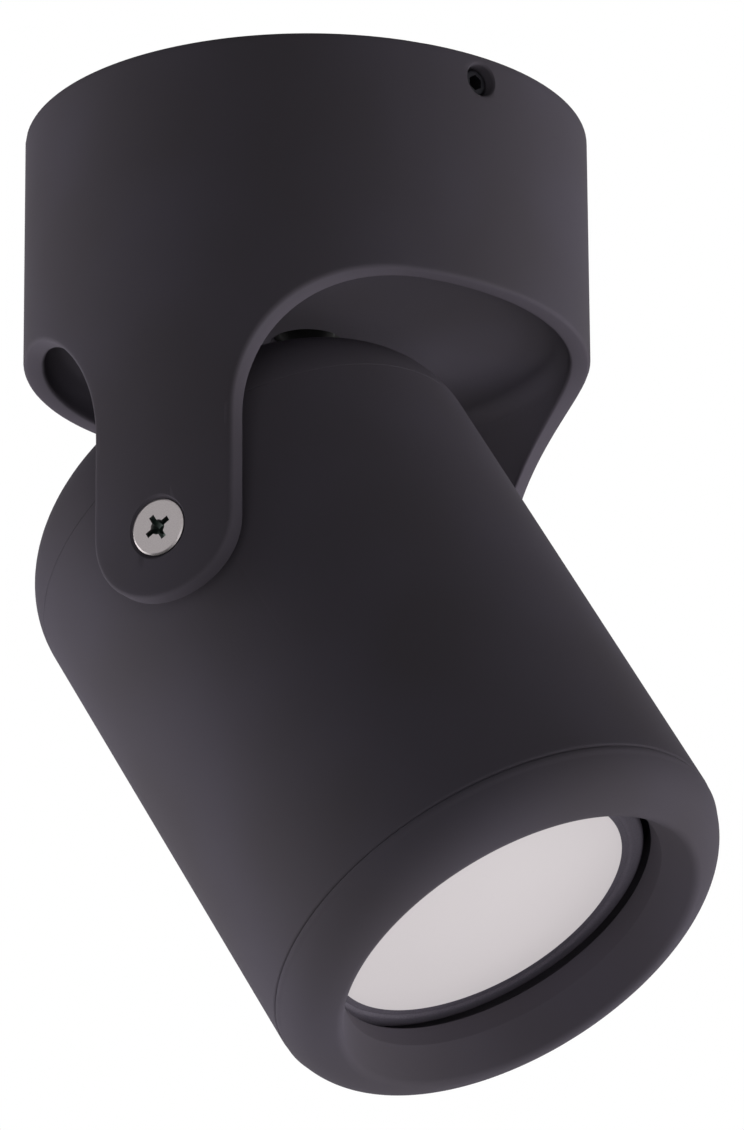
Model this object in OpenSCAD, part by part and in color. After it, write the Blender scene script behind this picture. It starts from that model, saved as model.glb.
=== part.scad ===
// Surface mounted ceiling spotlight. A cup-shaped canopy with two legs carries a
// cylindrical lamp head that tilts between them.
// The origin is the centre of the ceiling face and +Z is up. The pivot axis runs along Y,
// and at rest the front of the head leans towards +X.

/* [Canopy] */
// Outer radius of the canopy
canopy_r = 40; // [39:0.5:45]
// Wall thickness of the canopy and its legs
canopy_wall = 3; // [2.8:0.1:3.4]
// Depth of the web's underside below the ceiling
web_depth = 30; // [28:0.5:31.5]
// Thickness of the web
web_t = 3; // [2.4:0.2:3.6]
// Diameter of the cable hole in the web
web_hole_d = 9.8; // [8.6:0.2:12]
// Gap between the skirt's lower edge and the head when it lies level
skirt_gap = 2.8; // [1.4:0.2:4.8]
// Radius of the arch between a leg and the skirt
arch_r = 21; // [12:0.5:24]
// Width of each leg
leg_w = 22; // [19:0.5:24]
// Distance from the pivot axis to the round end of a leg
leg_end = 10.2; // [9:0.2:11.4]
// Direction of the first side screw, in degrees from +X
side_screw_azimuth = -21.8; // [-35:0.2:-10]
// Depth of the side screws below the ceiling
side_screw_depth = 3.5; // [3.3:0.1:4.5]
// Diameter of each side screw hole in the canopy
side_hole_d = 4.6; // [4.4:0.1:5.2]

/* [Ceiling plate] */
// Gap between the ceiling plate's rim and the canopy
plate_gap = 2.4; // [2:0.2:4]
// Thickness of the ceiling plate and its tabs
plate_t = 1.5; // [1.2:0.1:1.6]
// Diameter of the cable entry in the plate
plate_entry_d = 14; // [10:0.5:18]
// Distance from the plate's rim to the middle of each ceiling screw slot
slot_inset = 9.6; // [8:0.2:12]
// Width of each ceiling screw slot
slot_w = 4.6; // [4.2:0.1:5.4]
// End-to-end length of each ceiling screw slot
slot_length = 12; // [8:0.5:14]
// Width of each bent tab
tab_w = 12; // [9:0.5:13]
// Depth of each bent tab below the ceiling
tab_depth = 8; // [6.5:0.5:10]

/* [Head] */
// Gap between the web and the rear cap's corner as the head swings past it
swing_gap = 1.88; // [1.48:0.2:7.48]
// Tilt of the head away from straight down, in degrees
rest_tilt = 31; // [0:1:60]
// Gap between the head and each leg
head_gap = 3.4; // [2.6:0.1:4]
// Wall thickness of the head tube
tube_wall = 2.2; // [2:0.1:2.4]
// Distance from the pivot axis back to the rear cap's seam
rear_seam = 15; // [14:0.2:16]
// Distance from the pivot axis forward to the front ring's seam
front_seam = 57.4; // [57:0.2:60]
// Rounding radius of the rear cap
rear_round = 13.2; // [11:0.2:14]
// Wall thickness of the rear cap
cap_wall = 2.8; // [2.4:0.1:3]
// Length of the rear cap's spigot inside the tube
cap_spigot_l = 8; // [6:0.5:9]

/* [Front ring] */
// Length of the front ring beyond its seam
ring_l = 7.2; // [6.8:0.1:8]
// Rounding radius of the front ring's nose
nose_r = 8; // [6:0.1:8.5]
// Width of the nose between the head's side and the mouth
mouth_inset = 6.7; // [6.2:0.1:7.4]
// Width of the mouth's cone, from its rim to the throat
cone_w = 2.65; // [2.3:0.05:3.3]
// Distance from the nose back to the throat
throat_depth = 5.3; // [4.4:0.1:6]
// Length of the front ring's spigot inside the tube
ring_spigot_l = 7.4; // [7:0.2:9]
// Section diameter of the friction gasket
gasket_d = 1.6; // [1.4:0.1:1.8]

/* [Pivot] */
// Diameter of the pivot screws
pivot_screw_d = 4; // [3.6:0.1:4.4]
// Length of the pivot screws, head included
pivot_screw_l = 16; // [15.8:0.1:17.4]
// Diameter of the countersunk screw head
pivot_head_d = 8.1; // [7.6:0.1:8.6]
// Outer diameter of each spacer between leg and head
spacer_d = 9.6; // [9:0.2:10.4]
// Width across the flats of the pivot nuts
pivot_nut_af = 7; // [6.6:0.1:7.6]
// Height of the pivot nuts
pivot_nut_h = 5; // [4.2:0.1:5]

/* [Lamp] */
// Gap between the lamp and the inside of the front ring
lamp_gap = 3.6; // [3.4:0.1:3.8]
// Length from the lamp's base face to its front rim
lamp_l = 46.9; // [46:0.1:46.9]
// Radius of the visible diffuser, as a share of the lamp's
diffuser_share = 0.866; // [0.8:0.002:0.88]
// Angle by which the lamp sags in its holder, in degrees
lamp_droop = 1.9; // [0:0.1:1.9]
// Turn that locks the lamp in its holder, in degrees
lamp_turn = 16; // [10:1:20]
// Distance between the two lamp pins
pin_spacing = 10; // [9.6:0.1:10.4]
// Radius of the lamp holder, as a share of the lamp's
holder_share = 0.6; // [0.59:0.01:0.64]
// Height of the lamp holder
holder_h = 15; // [14:0.5:15]

/* [Terminal block] */
// Length taken by each pole of the terminal block
pole_pitch = 10; // [9.4:0.2:10.6]
// Width of the terminal block
block_w = 17; // [16:0.5:18]
// Height of the terminal block
block_h = 13; // [12.4:0.2:14]
// Distance from the canopy's inner wall to the block's middle
block_inset = 18; // [17:0.5:19]

/* [Hidden] */
$fn = 96;

// Overrun of every cut past the face that it opens
cut = 1;
// Radial gap between a screw and the thread or hole that it fills
thread_gap = 0.05;
// Gap between parts that slip together by hand
slip_gap = 0.1;

// Canopy, whose skirt and pivot leave room for the head to swing
canopy_in_r = canopy_r - canopy_wall;
head_r = canopy_in_r - head_gap;
cap_flat_r = head_r - rear_round;
swing_r = norm([rear_seam, cap_flat_r]) + rear_round;
pivot_depth = web_depth + swing_r + swing_gap;
skirt_depth = pivot_depth - head_r - skirt_gap;
web_top = web_t - web_depth;
leg_round_depth = pivot_depth + leg_end - leg_w / 2;
boss_h = 3;

// Ceiling plate
plate_r = canopy_in_r - plate_gap;
slot_spacing = 2 * (plate_r - slot_inset);
tab_gap = 0.25;
tab_out = sqrt(pow(canopy_in_r, 2) - pow(tab_w / 2, 2)) - tab_gap;
tab_in = tab_out - plate_t;

// Side grub screws
grub_d = 4;
grub_l = 6;
grub_recess = 1.4;
grub_socket_af = 2;
grub_socket_depth = 2;

// Head tube
tube_in_r = head_r - tube_wall;
spot_depth = 0.4;
spot_gap = 0.4;
spot_y = head_r - spot_depth;
pad_r = 6;
pad_t = 1.2;
pad_in = tube_in_r - pad_t;
tube_boss_r = 4;
tube_boss_l = 12.6;
tube_boss_gap = 0.4;
cap_screw_r = tube_in_r - tube_boss_r - tube_boss_gap;
cap_screw_d = 3;
cap_screw_l = 16;
cap_screw_head_d = 5.5;
cap_screw_head_h = 3;
cap_screw_land = 5.2;
cap_screw_seat = rear_seam + cap_screw_land;

// Rear cap
cap_end = rear_seam + rear_round;
cap_floor = cap_end - cap_wall;
cap_spigot_wall = 2.2;
cap_boss_h = 3.4;
cap_boss_r = 3.6;
notch_gap = 0.3;
screw_head_gap = 0.3;
rear_hole_d = 9;
bush_bore_d = 6;
web_bush_bore_d = 7.6;
web_bush_inset = 1;
bush_flange_t = 1.4;
bush_flange_w = 1.8;

// Pivot
leg_seat_inset = 0.3;
leg_seat_y = canopy_in_r + leg_seat_inset;
pivot_run_gap = 0.1;
pivot_fit_gap = 0.08;
head_sink = 0.25;
head_rim_h = 0.3;
head_ring_gap = 0.3;
pivot_head_y = canopy_r - head_sink;
pivot_cone_h = (pivot_head_d - pivot_screw_d) / 2;
pivot_tip_y = pivot_head_y - pivot_screw_l;
spring_washer_t = 1;
spring_washer_d = 8;
nut_collar_share = 0.9;
nut_collar_h = 0.8;
recess_arm_w = 0.9;
recess_arm_l = 4;
recess_depth = 1.5;

// Front ring
ring_tip = front_seam + ring_l;
nose_centre_r = head_r - nose_r;
nose_centre = ring_tip - nose_r;
mouth_r = head_r - mouth_inset;
throat_r = mouth_r - cone_w;
throat_lip = 0.8;
throat_relief = 0.65;
throat_relief_r = throat_r + throat_relief;
flange_inset = 1.3;
flange_back = front_seam - flange_inset;
ring_spigot_r = tube_in_r - slip_gap;
ring_spigot_wall = 2.7;
ring_space_r = ring_spigot_r - ring_spigot_wall;
gasket_at = 3.8;
groove_w = gasket_d + 2 * slip_gap;
gasket_r = tube_in_r - thread_gap - gasket_d / 2;
groove_r = gasket_r - gasket_d / 2 - thread_gap;

// Lamp holder and its bracket, whose place follows the lamp's rim behind the ring
lamp_r = ring_space_r - lamp_gap;
holder_r = holder_share * lamp_r;
rim_gap = 1.1;
seat_gap = 0.6;
lamp_seat = flange_back - rim_gap - lamp_l;
holder_front = lamp_seat - seat_gap;
holder_rear = holder_h - holder_front;
holder_plate = 3;
chamber_depth = 10;
pin_neck_r = 1.6;
pin_head_r = 2.5;
neck_gap = 0.45;
pin_head_gap = 0.6;
pin_entry_gap = 0.4;
pin_orbit = pin_spacing / 2;
wire_exit_d = 3;
contact_w = 3;
contact_l = 4;
contact_t = 0.5;
contact_gap = 0.4;
holder_screw_inset = 4;
holder_screw_y = holder_r - holder_screw_inset;
holder_screw_d = 3;
holder_screw_l = 17;
holder_screw_head_d = 5.6;
bracket_t = 1.5;
bracket_w = 14;
bracket_ear = 3.5;
bracket_leg_y = holder_screw_y + bracket_ear;
bracket_foot_l = 6.5;
bracket_window_d = 9;
foot_z = cap_floor - cap_boss_h - bracket_t;
bracket_screw_y = bracket_leg_y + bracket_foot_l / 2;
bracket_screw_d = 3;
bracket_screw_l = 5.4;
pan_head_d = 5.4;
pan_head_h = 2;
slot_cut_w = 0.8;
slot_cut_depth = 1;

// Lamp
pin_l = 7;
contact_z = pin_l - lamp_seat + contact_gap;
pin_head_start = 4.2;
pin_root = 3;
base_share = 0.496;
base_r = base_share * lamp_r;
base_l = 10;
housing_wall = 1.5;
neck_start = 8;
neck_end = 13;
flare_start = 20;
flare_end_inset = 8.9;
flare_end = lamp_l - flare_end_inset;
flare_start_share = 0.64;
flare_start_r = flare_start_share * lamp_r;
flare_step = 0.8;
flare_end_r = lamp_r - flare_step;
band_l = 5.7;
band_start = lamp_l - band_l;
rim_t = 2.1;
rim_lip_t = 0.4;
rim_ledge_w = 1;
diffuser_r = diffuser_share * lamp_r;
rim_rebate_r = diffuser_r + rim_ledge_w;
housing_front = lamp_l - rim_t;
ledge_inset = 12.4;
ledge_z = lamp_l - ledge_inset;
ledge_t = 1.5;
board_share = 0.8;
board_r = board_share * lamp_r;
ledge_w = 3;
ledge_in_r = board_r - ledge_w;
board_t = 1.6;
led_w = 2.8;
led_h = 0.7;
led_ring_share = 0.55;
led_ring_r = led_ring_share * board_r;
led_count = 8;
vent_count = 12;
vent_w = 2;
vent_depth = 0.8;
diffuser_t = 1.6;

// Terminal block and earth
block_y = canopy_in_r - block_inset;
block_base = web_top + boss_h;
block_l = 3 * pole_pitch;
block_slab_h = 4;
tower_w = 8.4;
clamp_z = block_base + block_h / 2;
clamp_r = 2.3;
clamp_bore_r = 1.4;
clamp_l = 13;
clamp_screw_r = 1.45;
clamp_screw_head_r = 2.1;
clamp_screw_head_h = 1.8;
clamp_screw_y = 3.5;
clamp_well_r = 2.3;
wire_gap = 0.1;
fix_screw_d = 2.5;
fix_screw_l = 8;
fix_head_d = 4.4;
fix_boss_r = 3.5;
earth_x = -12;
earth_y = -14;
earth_boss_r = 4;
earth_screw_d = 4;
earth_screw_l = 6;
earth_head_d = 7.6;
earth_head_h = 2.8;
earth_washer_t = 1;
earth_washer_d = 8.4;
lug_t = 0.8;
lug_d = 8;
lug_barrel_r = 1.9;
lug_barrel_l = 5;
lug_tongue_w = 3;
lug_tongue_l = 3;
lug_overlap = 0.6;
earth_top = web_top + boss_h;
lug_barrel_z = earth_top + lug_barrel_r;
wire_r = 1.2;
wire_sides = 8;
lug_barrel_y = lug_d / 2 + lug_tongue_l - lug_overlap;
wire_grip = 3.9;
wire_start = [earth_x, earth_y + lug_barrel_y + lug_barrel_l - wire_grip, lug_barrel_z];
wire_tuck = 2.5;
wire_end = [-pole_pitch, block_y - clamp_l / 2 + wire_tuck, clamp_z];
wire_shares = [
    [0, 0, 0], [0, 0.16, 0], [0.1, 0.3, 0.11], [0.35, 0.44, 0.33],
    [0.65, 0.58, 0.63], [0.9, 0.7, 0.89], [1, 0.8, 1], [1, 0.9, 1],
    [1, 1, 1]
];

// Puts the head's own frame at its pivot, with its front towards -Z
module head_place() {
    translate([0, 0, -pivot_depth]) rotate([0, -rest_tilt, 0]) children();
}

// Puts the lamp's own frame at its base face, sagging a little in the holder
module lamp_place() {
    head_place() translate([0, 0, -lamp_seat]) rotate([0, lamp_droop, 0]) children();
}

// Repeats a part half a turn round the vertical axis
module both_sides() {
    for (turn = [0, 180]) rotate([0, 0, turn]) children();
}

// Stands a part that is drawn along +Z along +Y, from the given distance
module along_y(y) {
    translate([0, y, 0]) rotate([-90, 0, 0]) children();
}

module tube(r_out, r_in, length) {
    difference() {
        cylinder(r = r_out, h = length);
        translate([0, 0, -cut]) cylinder(r = r_in, h = length + 2 * cut);
    }
}

// A straight slot along Y with round ends
module straight_slot(width, length, depth) {
    run = length - width;
    translate([-width / 2, -run / 2, 0]) cube([width, run, depth]);
    for (side = [-1, 1]) translate([0, side * run / 2, 0]) cylinder(d = width, h = depth);
}

// A screw along -Z from the underside of a flat head
module flat_head_screw(d, length, head_d, head_h) {
    difference() {
        union() {
            translate([0, 0, -length]) cylinder(d = d, h = length);
            cylinder(d = head_d, h = head_h);
        }
        translate([-head_d, -slot_cut_w / 2, head_h - slot_cut_depth])
            cube([2 * head_d, slot_cut_w, slot_cut_depth + cut]);
    }
}

// Outline of the canopy seen along the pivot axis: skirt, arches and round-ended legs
module canopy_outline() {
    translate([-canopy_r - cut, -skirt_depth]) square([2 * canopy_r + 2 * cut, skirt_depth + cut]);
    translate([-leg_w / 2, -leg_round_depth]) square([leg_w, leg_round_depth]);
    translate([0, -leg_round_depth]) circle(d = leg_w);
    for (side = [-1, 1]) difference() {
        translate([side * (leg_w + arch_r) / 2, -skirt_depth - arch_r / 2]) square(arch_r, center = true);
        translate([side * (leg_w / 2 + arch_r), -skirt_depth - arch_r]) circle(r = arch_r);
    }
}

// Opening of the countersink and the pivot bore through one leg
module leg_bore() {
    bore_r = pivot_screw_d / 2 + pivot_fit_gap;
    cone_base = pivot_head_y - head_rim_h - pivot_cone_h;
    mouth = pivot_head_d / 2 + head_ring_gap;
    along_y(leg_seat_y - cut) cylinder(r = bore_r, h = canopy_wall + 2 * cut);
    along_y(cone_base) cylinder(r1 = bore_r, r2 = mouth, h = mouth - bore_r);
    along_y(cone_base + mouth - bore_r) cylinder(r = mouth, h = canopy_wall);
    along_y(leg_seat_y - canopy_wall) cylinder(r = spacer_d / 2 + spot_gap, h = canopy_wall);
}

module canopy() {
    color([0.2, 0.2, 0.21]) difference() {
        union() {
            intersection() {
                translate([0, 0, -leg_round_depth - leg_w]) tube(canopy_r, canopy_in_r, leg_round_depth + leg_w);
                rotate([90, 0, 0]) linear_extrude(2 * canopy_r + 2 * cut, center = true) canopy_outline();
            }
            translate([0, 0, -web_depth]) cylinder(r = canopy_in_r + canopy_wall / 2, h = web_t);
            for (side = [-1, 1]) translate([side * pole_pitch / 2, block_y, web_top - web_t / 2])
                cylinder(r = fix_boss_r, h = boss_h + web_t / 2);
            translate([earth_x, earth_y, web_top - web_t / 2])
                cylinder(r = earth_boss_r, h = boss_h + web_t / 2);
        }
        translate([0, 0, -web_depth - cut]) cylinder(d = web_hole_d, h = web_t + 2 * cut);
        for (side = [-1, 1]) translate([side * pole_pitch / 2, block_y, web_top + boss_h - fix_screw_l / 2])
            cylinder(r = fix_screw_d / 2 + thread_gap, h = fix_screw_l);
        translate([earth_x, earth_y, web_top + boss_h - earth_screw_l + earth_washer_t])
            cylinder(r = earth_screw_d / 2 + thread_gap, h = earth_screw_l);
        both_sides() translate([0, 0, -pivot_depth]) leg_bore();
        rotate([0, 0, side_screw_azimuth]) both_sides() translate([canopy_in_r - cut, 0, -side_screw_depth])
            rotate([0, 90, 0]) cylinder(d = side_hole_d, h = canopy_wall + 2 * cut);
    }
}

module ceiling_plate() {
    color([0.75, 0.75, 0.77]) difference() {
        union() {
            translate([0, 0, -plate_t]) cylinder(r = plate_r, h = plate_t);
            rotate([0, 0, side_screw_azimuth]) both_sides() {
                translate([plate_r / 2, -tab_w / 2, -plate_t]) cube([tab_out - plate_r / 2, tab_w, plate_t]);
                translate([tab_in, -tab_w / 2, -tab_depth]) cube([plate_t, tab_w, tab_depth]);
            }
        }
        translate([0, 0, -plate_t - cut]) cylinder(d = plate_entry_d, h = plate_t + 2 * cut);
        for (side = [-1, 1]) translate([0, side * slot_spacing / 2, -plate_t - cut])
            straight_slot(slot_w, slot_length, plate_t + 2 * cut);
        rotate([0, 0, side_screw_azimuth]) both_sides() translate([tab_in - cut, 0, -side_screw_depth])
            rotate([0, 90, 0]) cylinder(r = grub_d / 2 + thread_gap, h = plate_t + 2 * cut);
    }
}

module canopy_grub_screws() {
    color([0.35, 0.35, 0.36]) rotate([0, 0, side_screw_azimuth]) both_sides()
        translate([canopy_r - grub_recess - grub_l, 0, -side_screw_depth]) rotate([0, 90, 0]) difference() {
            cylinder(d = grub_d, h = grub_l);
            translate([0, 0, grub_l - grub_socket_depth])
                cylinder(d = grub_socket_af / cos(30), h = grub_socket_depth + cut, $fn = 6);
        }
}

module terminal_block() {
    color([0.92, 0.92, 0.9]) translate([0, block_y, 0]) difference() {
        union() {
            translate([-block_l / 2, -block_w / 2, block_base]) cube([block_l, block_w, block_slab_h]);
            for (pole = [-1:1]) translate([pole * pole_pitch - tower_w / 2, -block_w / 2, block_base])
                cube([tower_w, block_w, block_h]);
        }
        for (pole = [-1:1]) translate([pole * pole_pitch, 0, clamp_z]) {
            along_y(-block_w / 2 - cut) cylinder(r = clamp_r + thread_gap, h = block_w + 2 * cut);
            for (side = [-1, 1]) translate([0, side * clamp_screw_y, 0]) cylinder(r = clamp_well_r, h = block_h);
        }
        for (side = [-1, 1]) translate([side * pole_pitch / 2, 0, block_base]) {
            translate([0, 0, -cut]) cylinder(r = fix_screw_d / 2 + slip_gap, h = block_h);
            translate([0, 0, block_slab_h]) cylinder(r = fix_head_d / 2 + slip_gap, h = block_h);
        }
    }
}

module terminal_clamps() {
    color([0.8, 0.68, 0.35]) translate([0, block_y, clamp_z]) for (pole = [-1:1])
        translate([pole * pole_pitch, 0, 0]) difference() {
            along_y(-clamp_l / 2) tube(clamp_r, clamp_bore_r, clamp_l);
            for (side = [-1, 1]) translate([0, side * clamp_screw_y, 0])
                cylinder(r = clamp_screw_r + thread_gap, h = clamp_r + cut);
        }
}

module terminal_screws() {
    tip = wire_r + wire_gap;
    color([0.75, 0.72, 0.6]) translate([0, block_y, clamp_z]) for (pole = [-1:1], side = [-1, 1])
        translate([pole * pole_pitch, side * clamp_screw_y, clamp_r + slip_gap])
            flat_head_screw(2 * clamp_screw_r, clamp_r + slip_gap - tip, 2 * clamp_screw_head_r,
                clamp_screw_head_h);
}

module terminal_fixing_screws() {
    color([0.75, 0.75, 0.77]) for (side = [-1, 1])
        translate([side * pole_pitch / 2, block_y, block_base + block_slab_h])
            flat_head_screw(fix_screw_d, fix_screw_l - thread_gap, fix_head_d, pan_head_h);
}

module earth_screw() {
    color([0.8, 0.68, 0.35]) translate([earth_x, earth_y, earth_top + lug_t + earth_washer_t])
        flat_head_screw(earth_screw_d, earth_screw_l, earth_head_d, earth_head_h);
}

module earth_washer() {
    color([0.75, 0.75, 0.77]) translate([earth_x, earth_y, earth_top + lug_t])
        tube(earth_washer_d / 2, earth_screw_d / 2 + thread_gap, earth_washer_t);
}

module earth_lug() {
    color([0.8, 0.8, 0.8]) translate([earth_x, earth_y, earth_top]) {
        difference() {
            union() {
                cylinder(d = lug_d, h = lug_t);
                translate([-lug_tongue_w / 2, 0, 0]) cube([lug_tongue_w, lug_d / 2 + lug_tongue_l, lug_t]);
            }
            translate([0, 0, -cut]) cylinder(r = earth_screw_d / 2 + slip_gap, h = lug_t + 2 * cut);
        }
        translate([0, 0, lug_barrel_r]) along_y(lug_barrel_y)
            tube(lug_barrel_r, wire_r + slip_gap, lug_barrel_l);
    }
}

function unit(v) = v / norm(v);
function run_along(p, i) = unit(p[min(i + 1, len(p) - 1)] - p[max(i - 1, 0)]);

// A tube of flat facets along a row of points
module swept_tube(route, radius, sides) {
    rings = len(route);
    points = [for (i = [0:rings - 1])
        let (ahead = run_along(route, i), across = unit(cross(ahead, [0, 0, 1])), up = cross(across, ahead))
        for (k = [0:sides - 1]) route[i] + radius * (cos(360 * k / sides) * across + sin(360 * k / sides) * up)];
    walls = [for (i = [0:rings - 2], k = [0:sides - 1])
        let (a = i * sides + k, b = i * sides + (k + 1) % sides)
        each [[a, a + sides, b + sides], [a, b + sides, b]]];
    near_end = [for (k = [1:sides - 2]) [0, k, k + 1]];
    last = (rings - 1) * sides;
    far_end = [for (k = [1:sides - 2]) [last, last + k + 1, last + k]];
    polyhedron(points = points, faces = concat(walls, near_end, far_end));
}

module earth_wire() {
    run = wire_end - wire_start;
    route = [for (share = wire_shares) [for (k = [0:2]) wire_start[k] + share[k] * run[k]]];
    color([0.45, 0.6, 0.15]) swept_tube(route, wire_r, wire_sides);
}

module web_bush() {
    sleeve_r = web_hole_d / 2 - thread_gap;
    color([0.08, 0.08, 0.08]) translate([0, 0, -web_depth]) difference() {
        union() {
            translate([0, 0, web_bush_inset]) cylinder(r = sleeve_r, h = web_t + bush_flange_t - web_bush_inset);
            translate([0, 0, web_t]) cylinder(r = sleeve_r + bush_flange_w, h = bush_flange_t);
        }
        cylinder(d = web_bush_bore_d, h = web_t + bush_flange_t + cut);
    }
}

module head_tube() {
    color([0.2, 0.2, 0.21]) head_place() difference() {
        union() {
            translate([0, 0, -front_seam]) tube(head_r, tube_in_r, front_seam + rear_seam);
            both_sides() {
                along_y(pad_in) cylinder(r = pad_r, h = pad_t + tube_wall / 2);
                translate([cap_screw_r, 0, rear_seam - tube_boss_l]) cylinder(r = tube_boss_r, h = tube_boss_l);
                translate([cap_screw_r, -tube_boss_r / 2, rear_seam - tube_boss_l])
                    cube([tube_in_r + tube_wall / 2 - cap_screw_r, tube_boss_r, tube_boss_l]);
            }
        }
        both_sides() {
            along_y(pad_in - cut) cylinder(r = pivot_screw_d / 2 + thread_gap, h = tube_wall + pad_t + 2 * cut);
            along_y(spot_y) cylinder(r = spacer_d / 2 + spot_gap, h = tube_wall);
            translate([cap_screw_r, 0, cap_screw_seat - cap_screw_l - thread_gap])
                cylinder(r = cap_screw_d / 2 + thread_gap, h = cap_screw_l);
        }
    }
}

// Half section of the rear cap's outer form, or of the hollow inside it
module cap_section(inset) {
    round_r = rear_round - inset;
    translate([0, rear_seam]) intersection() {
        union() {
            square([cap_flat_r, round_r]);
            translate([cap_flat_r, 0]) circle(r = round_r);
        }
        square([head_r, rear_round]);
    }
}

module rear_cap() {
    spigot_r = tube_in_r - slip_gap;
    notch = tube_boss_r + notch_gap;
    color([0.2, 0.2, 0.21]) head_place() difference() {
        union() {
            rotate_extrude() difference() {
                cap_section(0);
                cap_section(cap_wall);
            }
            difference() {
                translate([0, 0, rear_seam - cap_spigot_l])
                    tube(spigot_r, spigot_r - cap_spigot_wall, cap_spigot_l + cap_wall / 2);
                both_sides() {
                    translate([cap_screw_r, 0, 0]) cylinder(r = notch, h = rear_seam);
                    translate([cap_screw_r, -notch, 0]) cube([head_r - cap_screw_r, 2 * notch, rear_seam]);
                }
            }
            intersection() {
                rotate_extrude() cap_section(cap_wall / 2);
                both_sides() translate([cap_screw_r, 0, rear_seam]) cylinder(r = tube_boss_r, h = rear_round);
            }
            both_sides() translate([0, bracket_screw_y, cap_floor - cap_boss_h])
                cylinder(r = cap_boss_r, h = cap_boss_h + cap_wall / 2);
        }
        translate([0, 0, cap_floor - cut]) cylinder(d = rear_hole_d, h = cap_wall + 2 * cut);
        both_sides() {
            translate([cap_screw_r, 0, rear_seam - cut]) cylinder(r = cap_screw_d / 2 + slip_gap, h = rear_round);
            translate([cap_screw_r, 0, cap_screw_seat])
                cylinder(r = cap_screw_head_d / 2 + screw_head_gap, h = rear_round);
            translate([0, bracket_screw_y, foot_z + bracket_t - cut])
                cylinder(r = bracket_screw_d / 2 + thread_gap, h = bracket_screw_l - bracket_t + cut + thread_gap);
        }
    }
}

module rear_cap_screws() {
    color([0.3, 0.3, 0.31]) head_place() both_sides() translate([cap_screw_r, 0, cap_screw_seat])
        flat_head_screw(cap_screw_d, cap_screw_l, cap_screw_head_d, cap_screw_head_h);
}

module pivot_screws() {
    cone_base = pivot_head_y - head_rim_h - pivot_cone_h;
    color([0.78, 0.76, 0.74]) head_place() both_sides() difference() {
        union() {
            along_y(pivot_tip_y) cylinder(d = pivot_screw_d, h = pivot_screw_l - head_rim_h);
            along_y(cone_base) cylinder(d1 = pivot_screw_d, d2 = pivot_head_d, h = pivot_cone_h);
            along_y(pivot_head_y - head_rim_h) cylinder(d = pivot_head_d, h = head_rim_h);
        }
        along_y(pivot_head_y - recess_depth) for (turn = [0, 90]) rotate([0, 0, turn])
            translate([-recess_arm_l / 2, -recess_arm_w / 2, 0]) cube([recess_arm_l, recess_arm_w, recess_depth + cut]);
    }
}

module pivot_spacers() {
    color([0.1, 0.1, 0.1]) head_place() both_sides() along_y(spot_y)
        tube(spacer_d / 2, pivot_screw_d / 2 + thread_gap, leg_seat_y - pivot_run_gap - spot_y);
}

module pivot_spring_washers() {
    color([0.7, 0.7, 0.72]) head_place() both_sides() along_y(pad_in - spring_washer_t)
        tube(spring_washer_d / 2, pivot_screw_d / 2 + thread_gap, spring_washer_t);
}

module pivot_nuts() {
    nut_y = pad_in - spring_washer_t - pivot_nut_h;
    color([0.72, 0.72, 0.74]) head_place() both_sides() along_y(nut_y) difference() {
        union() {
            translate([0, 0, nut_collar_h])
                cylinder(d = pivot_nut_af / cos(30), h = pivot_nut_h - nut_collar_h, $fn = 6);
            cylinder(d = pivot_nut_af * nut_collar_share, h = pivot_nut_h);
        }
        translate([0, 0, -cut]) cylinder(r = pivot_screw_d / 2 + thread_gap, h = pivot_nut_h + 2 * cut);
    }
}

module lamp_holder() {
    screw_cone = (holder_screw_head_d - holder_screw_d) / 2;
    hole_r = holder_screw_d / 2 + thread_gap;
    color([0.93, 0.92, 0.88]) head_place() translate([0, 0, -holder_front]) difference() {
        cylinder(r = holder_r, h = holder_h);
        translate([0, 0, holder_plate])
            cylinder(r = pin_orbit + pin_head_r + pin_head_gap, h = chamber_depth - holder_plate);
        both_sides() {
            translate([pin_orbit, 0, -cut]) cylinder(r = pin_neck_r + neck_gap, h = chamber_depth);
            rotate([0, 0, lamp_turn]) translate([pin_orbit, 0, -cut])
                cylinder(r = pin_head_r + pin_entry_gap, h = chamber_depth);
            translate([pin_orbit, 0, chamber_depth - cut]) cylinder(d = wire_exit_d, h = holder_h);
            translate([0, holder_screw_y, -cut]) cylinder(r = hole_r, h = holder_h + 2 * cut);
            translate([0, holder_screw_y, -cut])
                cylinder(r1 = hole_r + screw_cone + cut, r2 = hole_r, h = screw_cone + cut);
        }
    }
}

module holder_contacts() {
    floor_z = chamber_depth - holder_front;
    color([0.82, 0.7, 0.4]) head_place() both_sides() translate([pin_orbit - contact_l / 2, -contact_w / 2, 0]) {
        translate([0, 0, contact_z]) cube([contact_l, contact_w, contact_t]);
        translate([0, 0, contact_z]) cube([contact_t, contact_w, floor_z - contact_z]);
    }
}

module holder_screws() {
    screw_cone = (holder_screw_head_d - holder_screw_d) / 2;
    color([0.75, 0.75, 0.77]) head_place() both_sides() translate([0, holder_screw_y, -holder_front]) difference() {
        union() {
            cylinder(d = holder_screw_d, h = holder_screw_l);
            cylinder(d1 = holder_screw_head_d, d2 = holder_screw_d, h = screw_cone);
        }
        translate([-holder_screw_head_d, -slot_cut_w / 2, -cut])
            cube([2 * holder_screw_head_d, slot_cut_w, slot_cut_depth + cut]);
    }
}

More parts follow.
